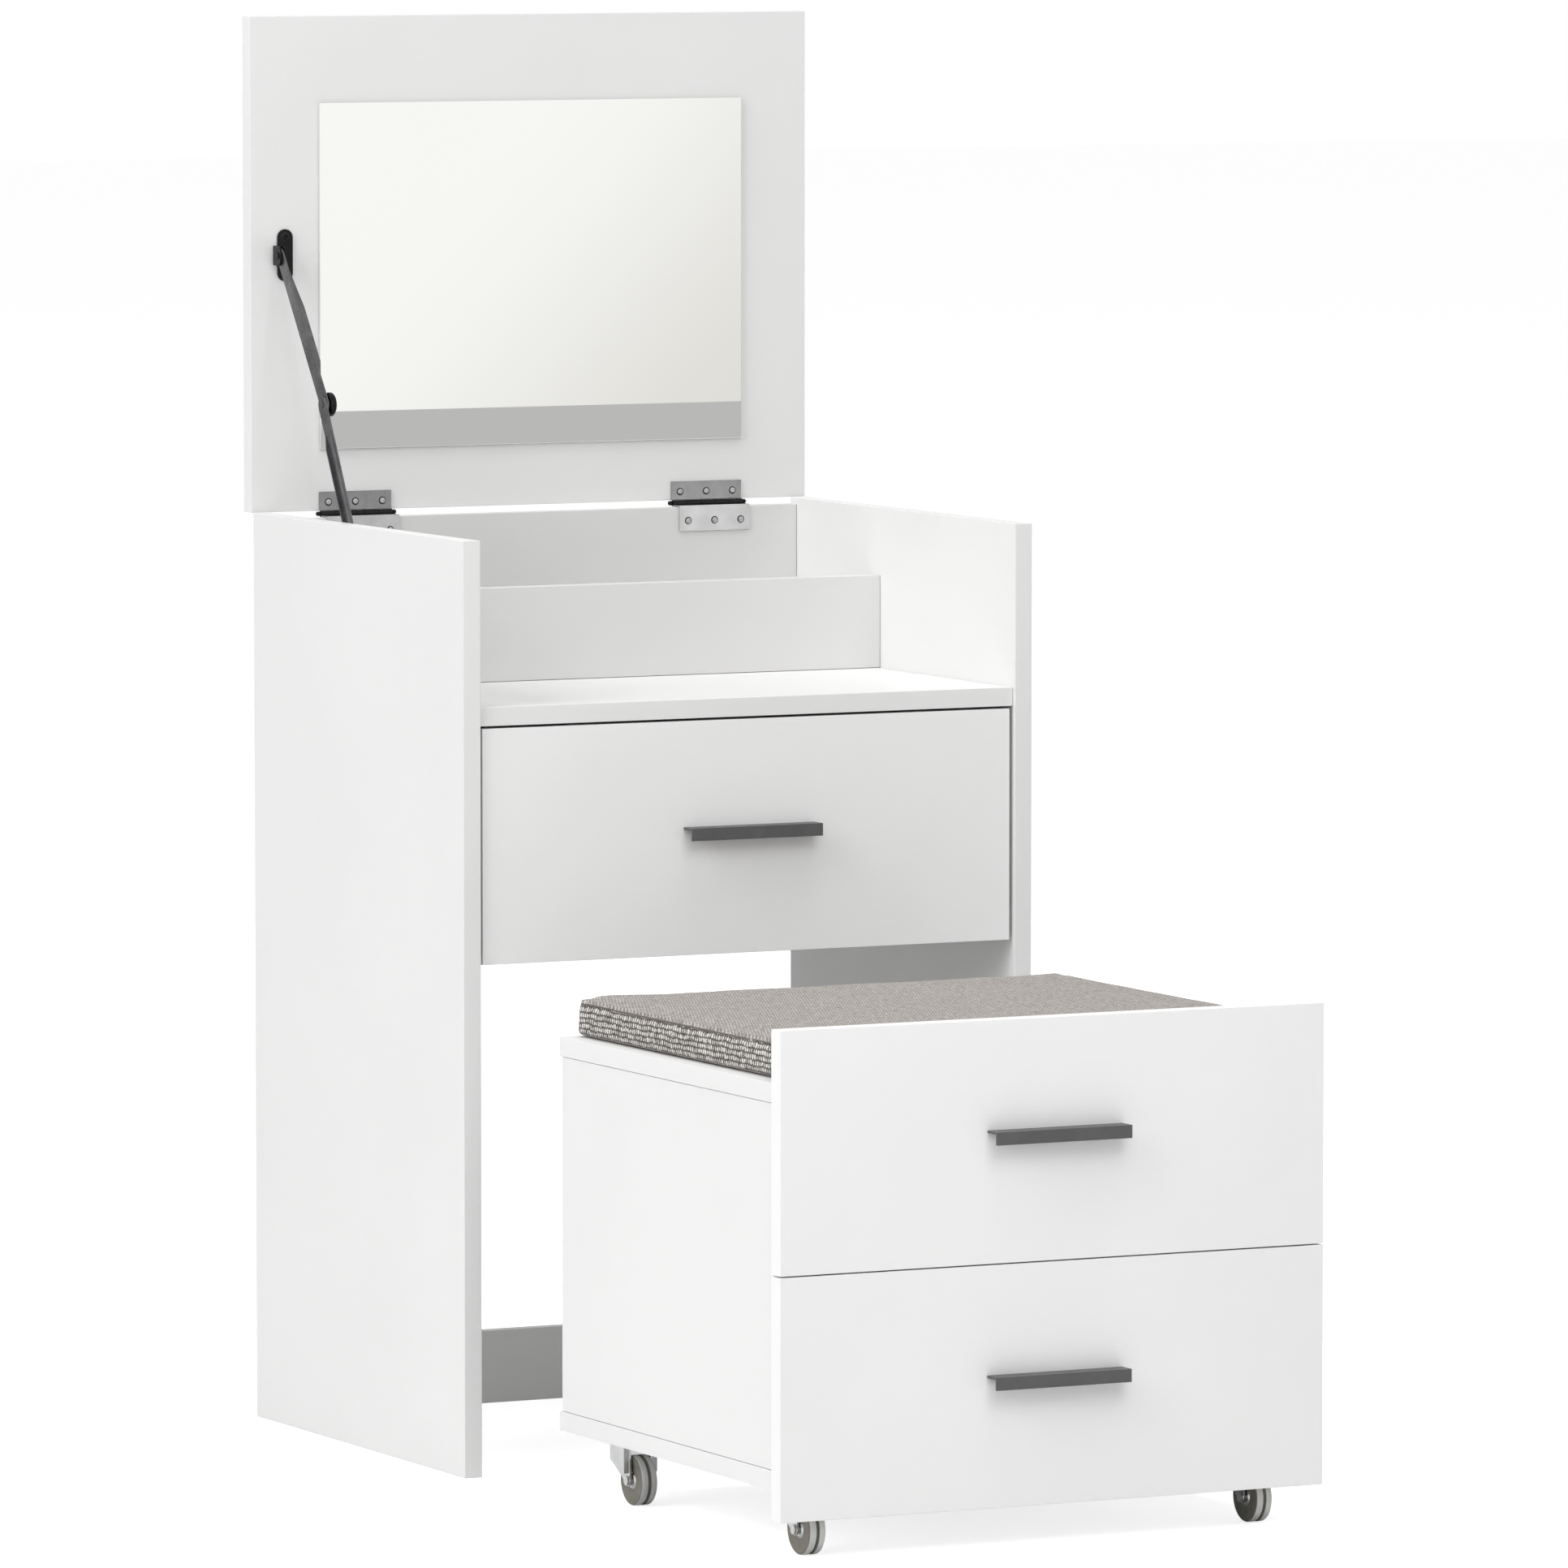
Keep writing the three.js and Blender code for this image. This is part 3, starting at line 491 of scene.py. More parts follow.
MELAMINE = make_melamine("white_melamine", (0.735, 0.735, 0.732), (0.755, 0.755, 0.752))
# Painted light: a lighter copy of the white melamine, for the drawer fronts and the rear floor rail
MELAMINE_PAINTED_LIGHT = make_melamine("white_melamine_painted_light", (0.80, 0.80, 0.798), (0.82, 0.82, 0.818))
# Painted shade: a darker copy of the white melamine, for the back panel and the divider
MELAMINE_PAINTED_SHADE = make_melamine("white_melamine_painted_shade", (0.635, 0.633, 0.625), (0.66, 0.658, 0.65))
HARDBOARD = make_hardboard()
MIRROR = make_mirror()
# Painted reflection: one hinge steel in two tones, a darker copy for the lid leaves and a lighter
# copy for the fixed leaves
PAINTED_SHADE_LID_STEEL = make_hinge_steel("lid_leaf_steel_painted_shade", (0.30, 0.30, 0.305), (0.40, 0.40, 0.405))
PAINTED_LIGHT_FIXED_STEEL = make_hinge_steel("fixed_leaf_steel_painted_light", (0.60, 0.60, 0.605), (0.74, 0.74, 0.745))
CHROME = make_chrome()
STAY_METAL = make_stay_metal()
BLACK_ENAMEL = make_black_enamel()
POWDER_COAT = make_powder_coat()
RUNNER_PLASTIC = make_runner_plastic()
ZINC = make_zinc()
TYRE_BAND = make_rubber("tyre_grey", (0.58, 0.58, 0.575), (0.66, 0.66, 0.655))
TYRE_SIDE = make_rubber("tyre_side_olive", (0.155, 0.148, 0.125), (0.20, 0.192, 0.16))
SCREW_RING_PAINTED_SHADE = make_screw_ring_painted_shade()
SIDE_WEAVE = make_weave(
    "tweed_side",
    (3.7 * MM, 4.3 * MM),
    (0.76, 0.73, 0.70),
    (0.035, 0.029, 0.024),
    (0.08, 0.74),
    1.0 * MM,
    slubs=(0.85, 1.1),
    on_top=False,
)
TOP_WEAVE = make_weave(
    "tweed_top",
    (2.5 * MM, 3.0 * MM),
    (0.485, 0.458, 0.433),
    (0.16, 0.142, 0.128),
    (0.02, 0.62),
    0.5 * MM,
    slubs=(0.5, 1.25),
    on_top=True,
)
PIPING = make_cord_material()


# ---------------------------------------------------------------- CAD parts


def smooth_shading(angle):
    """A modifier group that shades a mesh smooth, except across edges that turn more than angle."""
    group = bpy.data.node_groups.new("smooth_shading", "GeometryNodeTree")
    for direction in ("INPUT", "OUTPUT"):
        group.interface.new_socket("Geometry", in_out=direction, socket_type="NodeSocketGeometry")
    start = add_node(group, "NodeGroupInput")
    plain = add_node(group, "GeometryNodeRemoveAttribute", Name="custom_normal")
    faces = add_node(group, "GeometryNodeSetShadeSmooth", domain="FACE")
    edges = add_node(group, "GeometryNodeSetShadeSmooth", domain="EDGE")
    turn = add_node(group, "GeometryNodeInputMeshEdgeAngle")
    sharp = add_node(group, "FunctionNodeCompare", operation="GREATER_THAN")
    sharp.inputs["B"].default_value = angle
    end = add_node(group, "NodeGroupOutput")
    edges.inputs["Shade Smooth"].default_value = False
    faces.inputs["Shade Smooth"].default_value = True
    group.links.new(start.outputs[0], plain.inputs["Geometry"])
    group.links.new(plain.outputs[0], faces.inputs["Geometry"])
    group.links.new(faces.outputs[0], edges.inputs["Geometry"])
    group.links.new(turn.outputs["Unsigned Angle"], sharp.inputs["A"])
    group.links.new(sharp.outputs[0], edges.inputs["Selection"])
    group.links.new(edges.outputs[0], end.inputs[0])
    return group


SMOOTH = smooth_shading(math.radians(28))


def finish_part(name, material, edge):
    """Gives a CAD part its material, rounds its edges and shades its round stretches smooth."""
    part = NODES[name]
    for material_slot in part.material_slots:
        material_slot.link = "OBJECT"
        material_slot.material = material
    weld = part.modifiers.new("weld", "WELD")
    weld.merge_threshold = 0.002 * MM
    flat = part.modifiers.new("flat faces", "DECIMATE")
    flat.decimate_type = "DISSOLVE"
    flat.angle_limit = math.radians(0.5)
    bevel = part.modifiers.new("rounded edges", "BEVEL")
    bevel.width = edge
    bevel.segments = 2
    bevel.limit_method = "ANGLE"
    bevel.angle_limit = math.radians(40)
    bevel.miter_outer = "MITER_ARC"
    shading = part.modifiers.new("smooth shading", "NODES")
    shading.node_group = SMOOTH
    even = part.modifiers.new("flat faces stay flat", "WEIGHTED_NORMAL")
    even.weight = 100
    even.keep_sharp = True


def material_and_edge(name):
    """The material of a CAD part and the rounding of its edges, by the kind of part it is."""
    if name.endswith("_handle"):
        return POWDER_COAT, HANDLE_EDGE
    if name.endswith("drawer_bottom"):
        return HARDBOARD, METAL_EDGE
    if name.endswith("_runner"):
        return RUNNER_PLASTIC, PLASTIC_EDGE
    # Painted reflection: the lid leaves take the darker copy of the hinge steel, the fixed leaves the
    # lighter one
    if name.endswith("_hinge_lid_leaf"):
        return PAINTED_SHADE_LID_STEEL, METAL_EDGE
    if name.endswith("_hinge_fixed_leaf"):
        return PAINTED_LIGHT_FIXED_STEEL, METAL_EDGE
    if name.endswith("_bracket"):
        return BLACK_ENAMEL, METAL_EDGE
    if name.startswith("stay_"):
        return STAY_METAL, METAL_EDGE
    # Painted light: the drawer fronts and the rear floor rail take the lighter copy of the white
    # melamine
    if name.endswith("drawer_front") or name == "rear_floor_rail":
        return MELAMINE_PAINTED_LIGHT, BOARD_EDGE
    # Painted shade: the back panel and the divider take the darker copy of the white melamine
    if name in ("back_panel", "divider_board"):
        return MELAMINE_PAINTED_SHADE, BOARD_EDGE
    if name == "mirror_glass":
        return MIRROR, GLASS_EDGE
    if name.startswith("caster_"):
        return ZINC, METAL_EDGE
    return MELAMINE, BOARD_EDGE


# ---------------------------------------------------------------- new pieces


def piece_from(mesh_builder, name, materials):
    """A new object from a bmesh, which is freed."""
    mesh = bpy.data.meshes.new(name)
    mesh_builder.to_mesh(mesh)
    mesh_builder.free()
    piece = bpy.data.objects.new(name, mesh)
    bpy.context.scene.collection.objects.link(piece)
    for material in materials:
        mesh.materials.append(material)
    for polygon in mesh.polygons:
        polygon.use_smooth = True
    return piece


def frame_along(normal):
    """A turn that takes +Z to normal, with +Y near up."""
    z = Vector(normal).normalized()
    up = Vector((0, 0, 1))
    reference = up if abs(z.dot(up)) < 0.9 else Vector((0, 1, 0))
    x = reference.cross(z).normalized()
    y = z.cross(x)
    return Matrix((x, y, z)).transposed().to_4x4()


def screw_height(radius, x, y):
    """Height of a domed cross-head screw above its face, at a point around its axis."""
    distance = math.hypot(x, y)
    collar = SCREW_COLLAR * radius
    if distance > radius:
        ring = (distance - radius) / (collar - radius)
        return 0.10 * radius * math.sin(math.pi * ring) + 0.02 * radius
    dome = 0.06 * radius + 0.42 * radius * math.sqrt(max(0.0, 1 - (distance / radius) ** 2.2))
    arm = 0.6 * radius
    half_slot = 0.13 * radius
    in_slot = distance < arm and min(abs(x), abs(y)) < half_slot
    return dome - (0.26 * radius if in_slot else 0.0)


def add_screw(mesh_builder, centre, normal, radius, turn):
    """One cross-head screw in its countersink, on a face with that normal."""
    rings, spokes = 22, 48
    collar = SCREW_COLLAR * radius
    place = Matrix.Translation(centre) @ frame_along(normal) @ Matrix.Rotation(turn, 4, "Z")
    middle = mesh_builder.verts.new(place @ Vector((0, 0, screw_height(radius, 0, 0))))
    previous = None
    for ring in range(1, rings + 1):
        reach = collar * ring / rings
        row = []
        for spoke in range(spokes):
            angle = 2 * math.pi * spoke / spokes
            x, y = reach * math.cos(angle), reach * math.sin(angle)
            height = screw_height(radius, x, y) if ring < rings else -0.05 * radius
            row.append(mesh_builder.verts.new(place @ Vector((x, y, height))))
        for spoke in range(spokes):
            after = (spoke + 1) % spokes
            if previous is None:
                mesh_builder.faces.new((middle, row[spoke], row[after]))
            else:
                corners = (previous[spoke], row[spoke], row[after], previous[after])
                face = mesh_builder.faces.new(corners)
                # Painted shade: the faces of the ring round the head take the dark second material
                face.material_index = int(reach > 0.97 * radius)
        previous = row
    mesh_builder.faces.new(list(reversed(previous)))


def make_screws(name, body, places, normal, radius, material, slot):
    """Several screws on one face as one piece, each turned by a different angle."""
    mesh_builder = bmesh.new()
    for i, place in enumerate(places):
        add_screw(mesh_builder, Vector(place), normal, radius, math.radians(20 + 67 * i))
    screws = piece_from(mesh_builder, name, [material, SCREW_RING_PAINTED_SHADE])
    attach(screws, body)


def lathe_along_x(name, centre, profile, materials):
    """A piece turned about the X direction. profile is a closed list of (radius, x, material)."""
    mesh_builder = bmesh.new()
    rings = []
    for radius, x, _ in profile:
        ring = []
        for step in range(LATHE_STEPS):
            angle = 2 * math.pi * step / LATHE_STEPS
            offset = Vector((x, radius * math.cos(angle), radius * math.sin(angle)))
            ring.append(mesh_builder.verts.new(centre + offset))
        rings.append(ring)
    for i, ring in enumerate(rings):
        following = rings[(i + 1) % len(rings)]
        for step in range(LATHE_STEPS):
            after = (step + 1) % LATHE_STEPS
            corners = (ring[step], ring[after], following[after], following[step])
            face = mesh_builder.faces.new(corners)
            face.material_index = profile[i][2]
    bmesh.ops.recalc_face_normals(mesh_builder, faces=mesh_builder.faces)
    piece = piece_from(mesh_builder, name, materials)
    shading = piece.modifiers.new("smooth shading", "NODES")
    shading.node_group = SMOOTH
    return piece


def rounded(points, radius, steps=4):
    """A closed outline of (a, b, tag) points with each corner rounded by an arc-like curve."""
    result = []
    count = len(points)
    for i, (a, b, tag) in enumerate(points):
        here = Vector((a, b))
        before = Vector(points[i - 1][:2]) - here
        after = Vector(points[(i + 1) % count][:2]) - here
        cut = min(radius, 0.45 * before.length, 0.45 * after.length)
        start = here + before.normalized() * cut
        end = here + after.normalized() * cut
        for step in range(steps + 1):
            t = step / steps
            point = (1 - t) ** 2 * start + 2 * t * (1 - t) * here + t * t * end
            result.append((point.x, point.y, tag))
    return result


def make_wheel(caster):
    """A grey rubber wheel: olive side discs, two tread bands and a groove, on a bright hub sleeve."""
    node = f"{caster}_wheel"
    low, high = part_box(node)
    centre = (low + high) / 2
    radius = (high.z - low.z) / 2
    half = (high.x - low.x) / 2
    bore = 2.8 * MM
    hub = 6.4 * MM
    hub_metal, band, side_disc, groove = range(4)
    right = [
        (bore, half, hub_metal),
        (hub - 0.6 * MM, half, hub_metal),
        (hub, half - 1.2 * MM, side_disc),
        (0.62 * radius, half - 0.9 * MM, side_disc),
        (radius - 2.2 * MM, half - 0.25 * MM, side_disc),
        (radius - 0.6 * MM, half - 0.35 * MM, band),
        (radius, half - 1.3 * MM, band),
        (radius, 1.1 * MM, groove),
        (radius - 1.6 * MM, 0.7 * MM, groove),
    ]
    tags_back = [side_disc if tag == side_disc else tag for _, _, tag in right]
    left = [(r, -x, tags_back[max(i - 1, 0)]) for i, (r, x, _) in enumerate(right)]
    profile = rounded(right + left[::-1], 0.5 * MM, 3)
    wheel = lathe_along_x(f"{node}_tyre", centre, profile, [ZINC, TYRE_BAND, TYRE_SIDE, TYRE_SIDE])
    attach(wheel, node)
    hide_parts(node)


def make_knob():
    """The stay's clamping knob: a glossy disc with rounded rims and a shallow dished face."""
    low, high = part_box("stay_knob")
    centre = Vector((low.x, (low.y + high.y) / 2, (low.z + high.z) / 2))
    radius = (high.z - low.z) / 2
    depth = high.x - low.x
    outline = [
        (0.05 * MM, 0, 0),
        (4 * MM, 0, 0),
        (4 * MM, 0.8 * MM, 0),
        (radius - 0.8 * MM, 0.8 * MM, 0),
        (radius, 1.8 * MM, 0),
        (radius, depth - 1.4 * MM, 0),
        (radius - 1.5 * MM, depth, 0),
        (radius - 3.2 * MM, depth, 0),
        (radius - 4.2 * MM, depth - 0.7 * MM, 0),
        (0.05 * MM, depth - 0.9 * MM, 0),
    ]
    knob = lathe_along_x("stay_knob_moulding", centre, rounded(outline, 0.8 * MM, 4), [BLACK_ENAMEL])
    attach(knob, "stay_upper")
    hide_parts("stay_knob")


# ---------------------------------------------------------------- cushion


def rounded_block(low, high, corner):
    """A bmesh block with rounded vertical corners: a bottom and a top joined by a side band."""
    mesh_builder = bmesh.new()
    outline = []
    steps = 6
    for sx, sy, first in ((1, 1, 0), (-1, 1, 90), (-1, -1, 180), (1, -1, 270)):
        centre_x = (high.x if sx > 0 else low.x) - sx * corner
        centre_y = (high.y if sy > 0 else low.y) - sy * corner
        for step in range(steps + 1):
            angle = math.radians(first + 90 * step / steps)
            outline.append((centre_x + corner * math.cos(angle), centre_y + corner * math.sin(angle)))
    lower = [mesh_builder.verts.new((x, y, low.z)) for x, y in outline]
    upper = [mesh_builder.verts.new((x, y, high.z)) for x, y in outline]
    mesh_builder.faces.new(upper)
    mesh_builder.faces.new(list(reversed(lower)))
    for i, vertex in enumerate(lower):
        after = (i + 1) % len(lower)
        mesh_builder.faces.new((vertex, lower[after], upper[after], upper[i]))
    return mesh_builder


def apply_modifiers(piece):
    """Replaces a piece's mesh by what its modifiers make of it."""
    graph = bpy.context.evaluated_depsgraph_get()
    made = bpy.data.meshes.new_from_object(piece.evaluated_get(graph), depsgraph=graph)
    piece.modifiers.clear()
    piece.data = made


def swell(piece, floor_z):
    """Blows the cushion up by cloth simulation, with its underside held on the board below it."""
    rest = [vertex.co.copy() for vertex in piece.data.vertices]
    middle = sum(rest, Vector()) / len(rest)
    held = piece.vertex_groups.new(name="underside")
    lowest = floor_z + 0.6 * CUSHION_VOXEL
    held.add([i for i, place in enumerate(rest) if place.z < lowest], 1.0, "REPLACE")
    cloth = piece.modifiers.new("cloth", "CLOTH")
    settings = cloth.settings
    settings.quality = 6
    settings.mass = 0.4
    settings.tension_stiffness = 12
    settings.compression_stiffness = 12
    settings.shear_stiffness = 6
    settings.bending_stiffness = 2.5
    settings.use_pressure = True
    settings.uniform_pressure_force = CUSHION_PRESSURE
    settings.vertex_group_mass = "underside"
    settings.effector_weights.gravity = 0
    scene = bpy.context.scene
    for step in range(1, CUSHION_FRAMES + 1):
        scene.frame_set(step)
    graph = bpy.context.evaluated_depsgraph_get()
    swollen = piece.evaluated_get(graph).to_mesh()
    moved = [vertex.co.copy() for vertex in swollen.vertices]
    piece.evaluated_get(graph).to_mesh_clear()
    piece.modifiers.clear()
    piece.vertex_groups.clear()
    scene.frame_set(1)
    for vertex, start, end in zip(piece.data.vertices, rest, moved):
        step = end - start
        if step.length > CUSHION_SWELL:
            step *= CUSHION_SWELL / step.length
        for axis in (0, 1):
            if step[axis] * (start[axis] - middle[axis]) < 0:
                step[axis] *= CORNER_PULL
        vertex.co = start + step


def shape_cushion(piece, low, high, seam_z):
    """Fits the swollen form to its space, rounds its foot, sets the seam in and ripples the top."""
    points = [vertex.co for vertex in piece.data.vertices]
    middle = (low + high) / 2
    wide = max(abs(place.x - middle.x) for place in points)
    deep = max(abs(place.y - middle.y) for place in points)
    for place in points:
        place.x = middle.x + (place.x - middle.x) * (high.x - middle.x) / wide
        place.y = middle.y + (place.y - middle.y) * (high.y - middle.y) / deep
        from_flank = high.x - middle.x - abs(place.x - middle.x)
        from_end = high.y - middle.y - abs(place.y - middle.y)
        inland = min(from_flank, from_end)
        if place.z > seam_z:
            shoulder = SHOULDER_RISE * (1 - math.exp(-inland / SHOULDER_WIDTH))
            place.z = max(place.z, seam_z + shoulder)
        outward = Vector((place.x - middle.x, place.y - middle.y, 0))
        reach = max(abs(outward.x) / (high.x - middle.x), abs(outward.y) / (high.y - middle.y))
        if reach > 0.93:
            seam = math.exp(-(((place.z - seam_z) / SEAM_WIDTH) ** 2))
            foot = max(0.0, 1 - (place.z - low.z) / CUSHION_FOOT)
            place -= outward.normalized() * (SEAM_DEPTH * seam + FOOT_DEPTH * foot * foot)
        if place.z > seam_z:
            across = math.sin(place.x * 61 + 1.3 * math.sin(place.y * 37))
            place.z += RIPPLE * across * math.sin(place.y * 53)
        place.z = max(place.z, low.z)


def share_panels(piece, seam_z):
    """Gives the top and the underside one cloth direction, and the side band the other."""
    mesh = piece.data
    mesh.materials.clear()
    mesh.materials.append(TOP_WEAVE)
    mesh.materials.append(SIDE_WEAVE)
    for polygon in mesh.polygons:
        is_flat = polygon.center.z > seam_z or polygon.normal.z < -0.7
        polygon.material_index = 0 if is_flat else 1
        polygon.use_smooth = True


def seam_path(piece, low, high, seam_z):
    """Points round the cushion's skin at the height of the seam, found by rays from inside it."""
    skin = BVHTree.FromObject(piece, bpy.context.evaluated_depsgraph_get())
    path = []
    for (ax, ay), (bx, by), (nx, ny) in (
        ((low.x, low.y), (high.x, low.y), (0, -1)),
        ((high.x, low.y), (high.x, high.y), (1, 0)),
        ((high.x, high.y), (low.x, high.y), (0, 1)),
        ((low.x, high.y), (low.x, low.y), (-1, 0)),
    ):
        start = Vector((ax, ay, seam_z))
        end = Vector((bx, by, seam_z))
        outward = Vector((nx, ny, 0))
        for step in range(SEAM_POINTS):
            share = step / SEAM_POINTS
            from_edge = start.lerp(end, share) - SEAM_RAY_START * outward
            from_edge.x = min(max(from_edge.x, low.x + SEAM_RAY_START), high.x - SEAM_RAY_START)
            from_edge.y = min(max(from_edge.y, low.y + SEAM_RAY_START), high.y - SEAM_RAY_START)
            lean = (start.lerp(end, share) - from_edge).normalized()
            hit, _, _, _ = skin.ray_cast(from_edge, lean)
            path.append(hit - 0.25 * CORD_RADIUS * lean)
    return path


def make_piping(cushion, low, high, seam_z):
    """The dark twisted cord in the seam, as a closed tube."""
    curve = bpy.data.curves.new("cushion_seam_piping", "CURVE")
    curve.dimensions = "3D"
    curve.bevel_depth = CORD_RADIUS
    curve.bevel_resolution = 3
    line = curve.splines.new("POLY")
    path = seam_path(cushion, low, high, seam_z)
    line.points.add(len(path) - 1)
    for point, place in zip(line.points, path):
        point.co = (*place, 1.0)
    line.use_cyclic_u = True
    curve.materials.append(PIPING)
    piping = bpy.data.objects.new("cushion_seam_piping", curve)
    bpy.context.scene.collection.objects.link(piping)
    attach(piping, "stool")


def make_cushion():
    low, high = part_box("stool_cushion")
    seam_z = high.z - CUSHION_SEAM_DROP
    shrink = Vector((CUSHION_SHRINK, CUSHION_SHRINK, 0))
    start_high = Vector((high.x, high.y, high.z - CUSHION_START_DROP)) - shrink
    block = rounded_block(low + shrink, start_high, CUSHION_CORNER)
    bmesh.ops.recalc_face_normals(block, faces=block.faces)
    cushion = piece_from(block, "stool_cushion_cover", [])
    remesh = cushion.modifiers.new("even cells", "REMESH")
    remesh.mode = "VOXEL"
    remesh.voxel_size = CUSHION_VOXEL
    apply_modifiers(cushion)
    swell(cushion, low.z)
    finer = cushion.modifiers.new("finer", "SUBSURF")
    finer.levels = finer.render_levels = 1
    apply_modifiers(cushion)
    shape_cushion(cushion, low, high, seam_z)
    share_panels(cushion, seam_z)
    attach(cushion, "stool")
    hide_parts("stool_cushion")
    make_piping(cushion, low, high, seam_z)


# ---------------------------------------------------------------- fasteners


def face_screws(leaf, body, name, y, z):
    """A row of three screws in a hinge leaf, whose front face is at y."""
    low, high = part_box(leaf)
    middle = (low.x + high.x) / 2
    places = [(middle + i * HINGE_SCREW_SPACING, y, z) for i in (-1.0, 0.0, 1.0)]
    make_screws(name, body, places, (0, -1, 0), HINGE_SCREW, CHROME, "hinge_steel")


def make_hinge_screws():
    for side in SIDES:
        leaf = f"{side}_hinge_lid_leaf"
        low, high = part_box(leaf)
        plate_y = high.y - HINGE_LEAF
        face_screws(leaf, "lid", f"{side}_hinge_lid_screws", plate_y, high.z - LID_LEAF_INSET)
        leaf = f"{side}_hinge_fixed_leaf"
        low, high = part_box(leaf)
        screws_z = low.z + FIXED_LEAF_INSET
        face_screws(leaf, "table", f"{side}_hinge_fixed_screws", low.y, screws_z)


def make_stay_screws():
    looks = (STAY_SCREW, BLACK_ENAMEL, "stay_metal")
    low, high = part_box("stay_lid_bracket")
    plate_x = high.x - STAY_PLATE_HALF_WIDTH
    plate_y = high.y - STAY_PLATE
    middle = (low.z + high.z) / 2
    places = [(plate_x, plate_y, middle + reach) for reach in STAY_SCREW_REACH]
    make_screws("stay_lid_screws", "lid", places, (0, -1, 0), *looks)
    low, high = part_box("stay_side_bracket")
    middle = (low + high) / 2
    places = [(low.x + STAY_PLATE, middle.y, middle.z + reach) for reach in STAY_SCREW_REACH]
    make_screws("stay_side_screws", "table", places, (1, 0, 0), *looks)


def make_caster_screws():
    for caster in CASTERS:
        low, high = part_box(f"{caster}_plate")
        middle = (low + high) / 2
        face_z = high.z - CASTER_PLATE
        reach = (high.x - low.x) / 2 - CASTER_SCREW_INSET
        corners = [(-reach, -reach), (-reach, reach), (reach, -reach), (reach, reach)]
        places = [(middle.x + x, middle.y + y, face_z) for x, y in corners]
        name = f"{caster}_screws"
        make_screws(name, "stool", places, (0, 0, -1), CASTER_SCREW, CHROME, "caster_zinc")


# ---------------------------------------------------------------- studio


def emission_material(name, build):
    material = bpy.data.materials.new(name)
    material.use_nodes = True
    tree = material.node_tree
    tree.nodes.clear()
    emitter = add_node(tree, "ShaderNodeEmission")
    build(tree, emitter)
    output = add_node(tree, "ShaderNodeOutputMaterial")
    tree.links.new(emitter.outputs[0], output.inputs["Surface"])
    return material


def flat_panel(name, corners, material):
    mesh = bpy.data.meshes.new(name)
    mesh.from_pydata(corners, [], [tuple(range(len(corners)))])
    panel = bpy.data.objects.new(name, mesh)
    bpy.context.scene.collection.objects.link(panel)
    mesh.materials.append(material)
    return panel


def make_floor():
    """A pale floor. Its glow, which keeps shadows on it faint, doesn't light the object."""
    material, tree, shader = new_material("studio_floor")
    shader.inputs["Base Color"].default_value = (0.7, 0.7, 0.7, 1)
    shader.inputs["Roughness"].default_value = 0.9
    shader.inputs["Specular IOR Level"].default_value = 0.1
    shader.inputs["Emission Color"].default_value = (1, 1, 1, 1)
    path = add_node(tree, "ShaderNodeLightPath")
    glow = math_node(tree, "MULTIPLY", path.outputs["Is Camera Ray"], 0.75)
    tree.links.new(glow, shader.inputs["Emission Strength"])
    reach, z = FLOOR_REACH, -FLOOR_DROP
    corners = [(-reach, -reach, z), (reach, -reach, z), (reach, reach, z), (-reach, reach, z)]
    flat_panel("studio_floor", corners, material)


def make_reflected_wall():
    """A wall that only reflections see: pale, with a soft diagonal and a grey foot."""
    half, height = WALL_HALF_WIDTH, WALL_HEIGHT
    y = -WALL_DISTANCE + CAD_BOX[1].y

    def build(tree, emitter):
        place = object_place(tree)
        axes = add_node(tree, "ShaderNodeSeparateXYZ")
        tree.links.new(place, axes.inputs[0])
        slant = math_node(tree, "SUBTRACT", axes.outputs["X"], axes.outputs["Z"])
        soft = add_node(tree, "ShaderNodeMapRange", interpolation_type="SMOOTHSTEP")
        soft.inputs["From Min"].default_value = WALL_DIAGONAL[0]
        soft.inputs["From Max"].default_value = WALL_DIAGONAL[1]
        tree.links.new(slant, soft.inputs["Value"])
        wall = blend_colours(tree, soft.outputs["Result"], (0.965, 0.965, 0.95), (0.76, 0.75, 0.72))
        is_foot = math_node(tree, "LESS_THAN", axes.outputs["Z"], WALL_FOOT)
        colour = blend_colours(tree, is_foot, wall, (0.50, 0.50, 0.50))
        tree.links.new(colour, emitter.inputs["Color"])

    material = emission_material("studio_wall", build)
    corners = [(-half, y, 0), (half, y, 0), (half, y, height), (-half, y, height)]
    wall = flat_panel("studio_wall", corners, material)
    wall.visible_camera = False
    wall.visible_diffuse = False
    wall.visible_shadow = False
    wall.visible_transmission = False


def make_world():
    """White to the camera, a little greyer in reflections, softer as a light."""
    world = bpy.data.worlds.new("studio")
    bpy.context.scene.world = world
    world.use_nodes = True
    tree = world.node_tree
    background = tree.nodes["Background"]
    background.inputs["Color"].default_value = (1, 1, 1, 1)
    path = add_node(tree, "ShaderNodeLightPath")
    lit = math_node(tree, "MULTIPLY", path.outputs["Is Diffuse Ray"], 1 - AMBIENT)
    mirrored = math_node(tree, "MULTIPLY", path.outputs["Is Glossy Ray"], 1 - REFLECTED)
    dimmer = math_node(tree, "MAXIMUM", lit, mirrored)
    tree.links.new(math_node(tree, "SUBTRACT", 1.0, dimmer), background.inputs["Strength"])


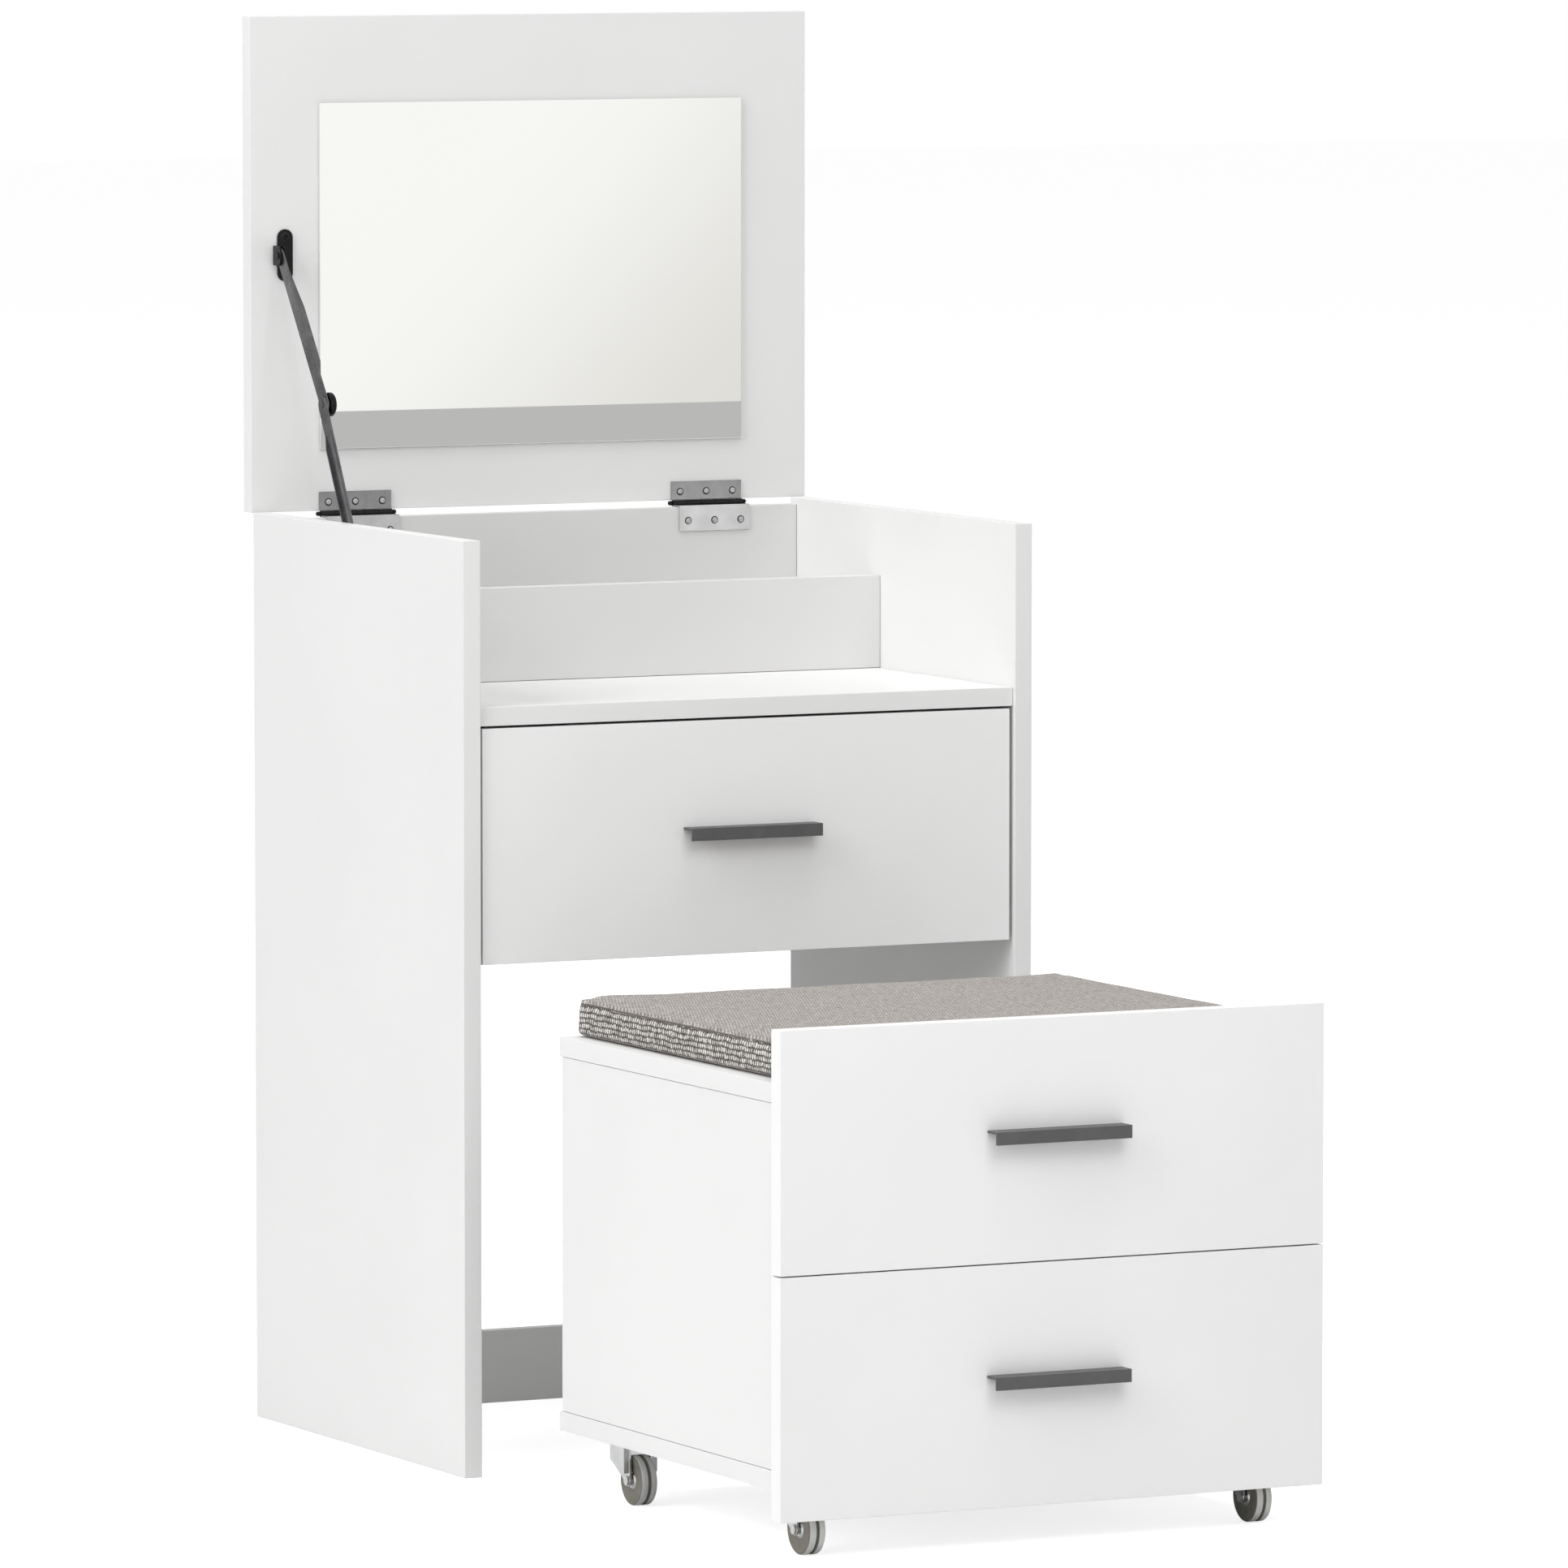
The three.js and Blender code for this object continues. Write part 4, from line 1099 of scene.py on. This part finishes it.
def make_softbox(name, direction, distance, size, level):
    """A square light that way from the object. level is what it adds to a white face turned to it."""
    towards = Vector(direction).normalized()
    light = bpy.data.lights.new(name, "AREA")
    light.shape = "SQUARE"
    light.size = size
    light.energy = level * (math.pi * distance) ** 2
    lamp = bpy.data.objects.new(name, light)
    lamp.location = LIGHT_TARGET + distance * towards
    lamp.rotation_euler = (-towards).to_track_quat("-Z", "Y").to_euler()
    bpy.context.scene.collection.objects.link(lamp)
    lamp.visible_camera = False
    lamp.visible_glossy = False


def make_lights():
    make_softbox("left_softbox", (-0.95, -0.2, 0.4), 8.0, 4.0, 0.32)
    make_softbox("upper_left_softbox", (-0.7, -0.15, 0.7), 8.0, 4.0, 0.44)
    make_softbox("front_softbox", (-0.1, -0.75, 0.62), 3.4, 1.8, 0.27)
    make_softbox("near_softbox", (-0.2, -0.9, 0.35), 1.9, 1.2, 0.13)
    make_softbox("top_softbox", (0.0, -0.1, 1.0), 8.0, 4.0, 0.42)
    make_softbox("right_softbox", (0.95, 0.45, 0.2), 8.0, 4.0, 0.2)


def make_camera():
    data = bpy.data.cameras.new("camera")
    data.lens = CAMERA_LENS
    data.sensor_width = SENSOR
    data.clip_end = 100
    camera = bpy.data.objects.new("camera", data)
    level = CAMERA_DISTANCE * math.cos(CAMERA_PITCH)
    rise = CAMERA_DISTANCE * math.sin(CAMERA_PITCH)
    offset = Vector((-level * math.sin(CAMERA_YAW), -level * math.cos(CAMERA_YAW), rise))
    camera.location = CAMERA_TARGET + offset
    camera.rotation_euler = (-offset).to_track_quat("-Z", "Y").to_euler()
    bpy.context.scene.collection.objects.link(camera)
    bpy.context.scene.camera = camera


# ---------------------------------------------------------------- scene

bpy.context.scene.view_settings.view_transform = "Standard"
make_camera()
make_world()
make_lights()
make_floor()
make_reflected_wall()

REPLACED = {"stool_cushion", "stay_knob"} | {f"{caster}_wheel" for caster in CASTERS}
for node_name in NODES:
    if node_name not in REPLACED:
        finish_part(node_name, *material_and_edge(node_name))
for caster_name in CASTERS:
    make_wheel(caster_name)
make_knob()
make_cushion()
make_hinge_screws()
make_stay_screws()
make_caster_screws()
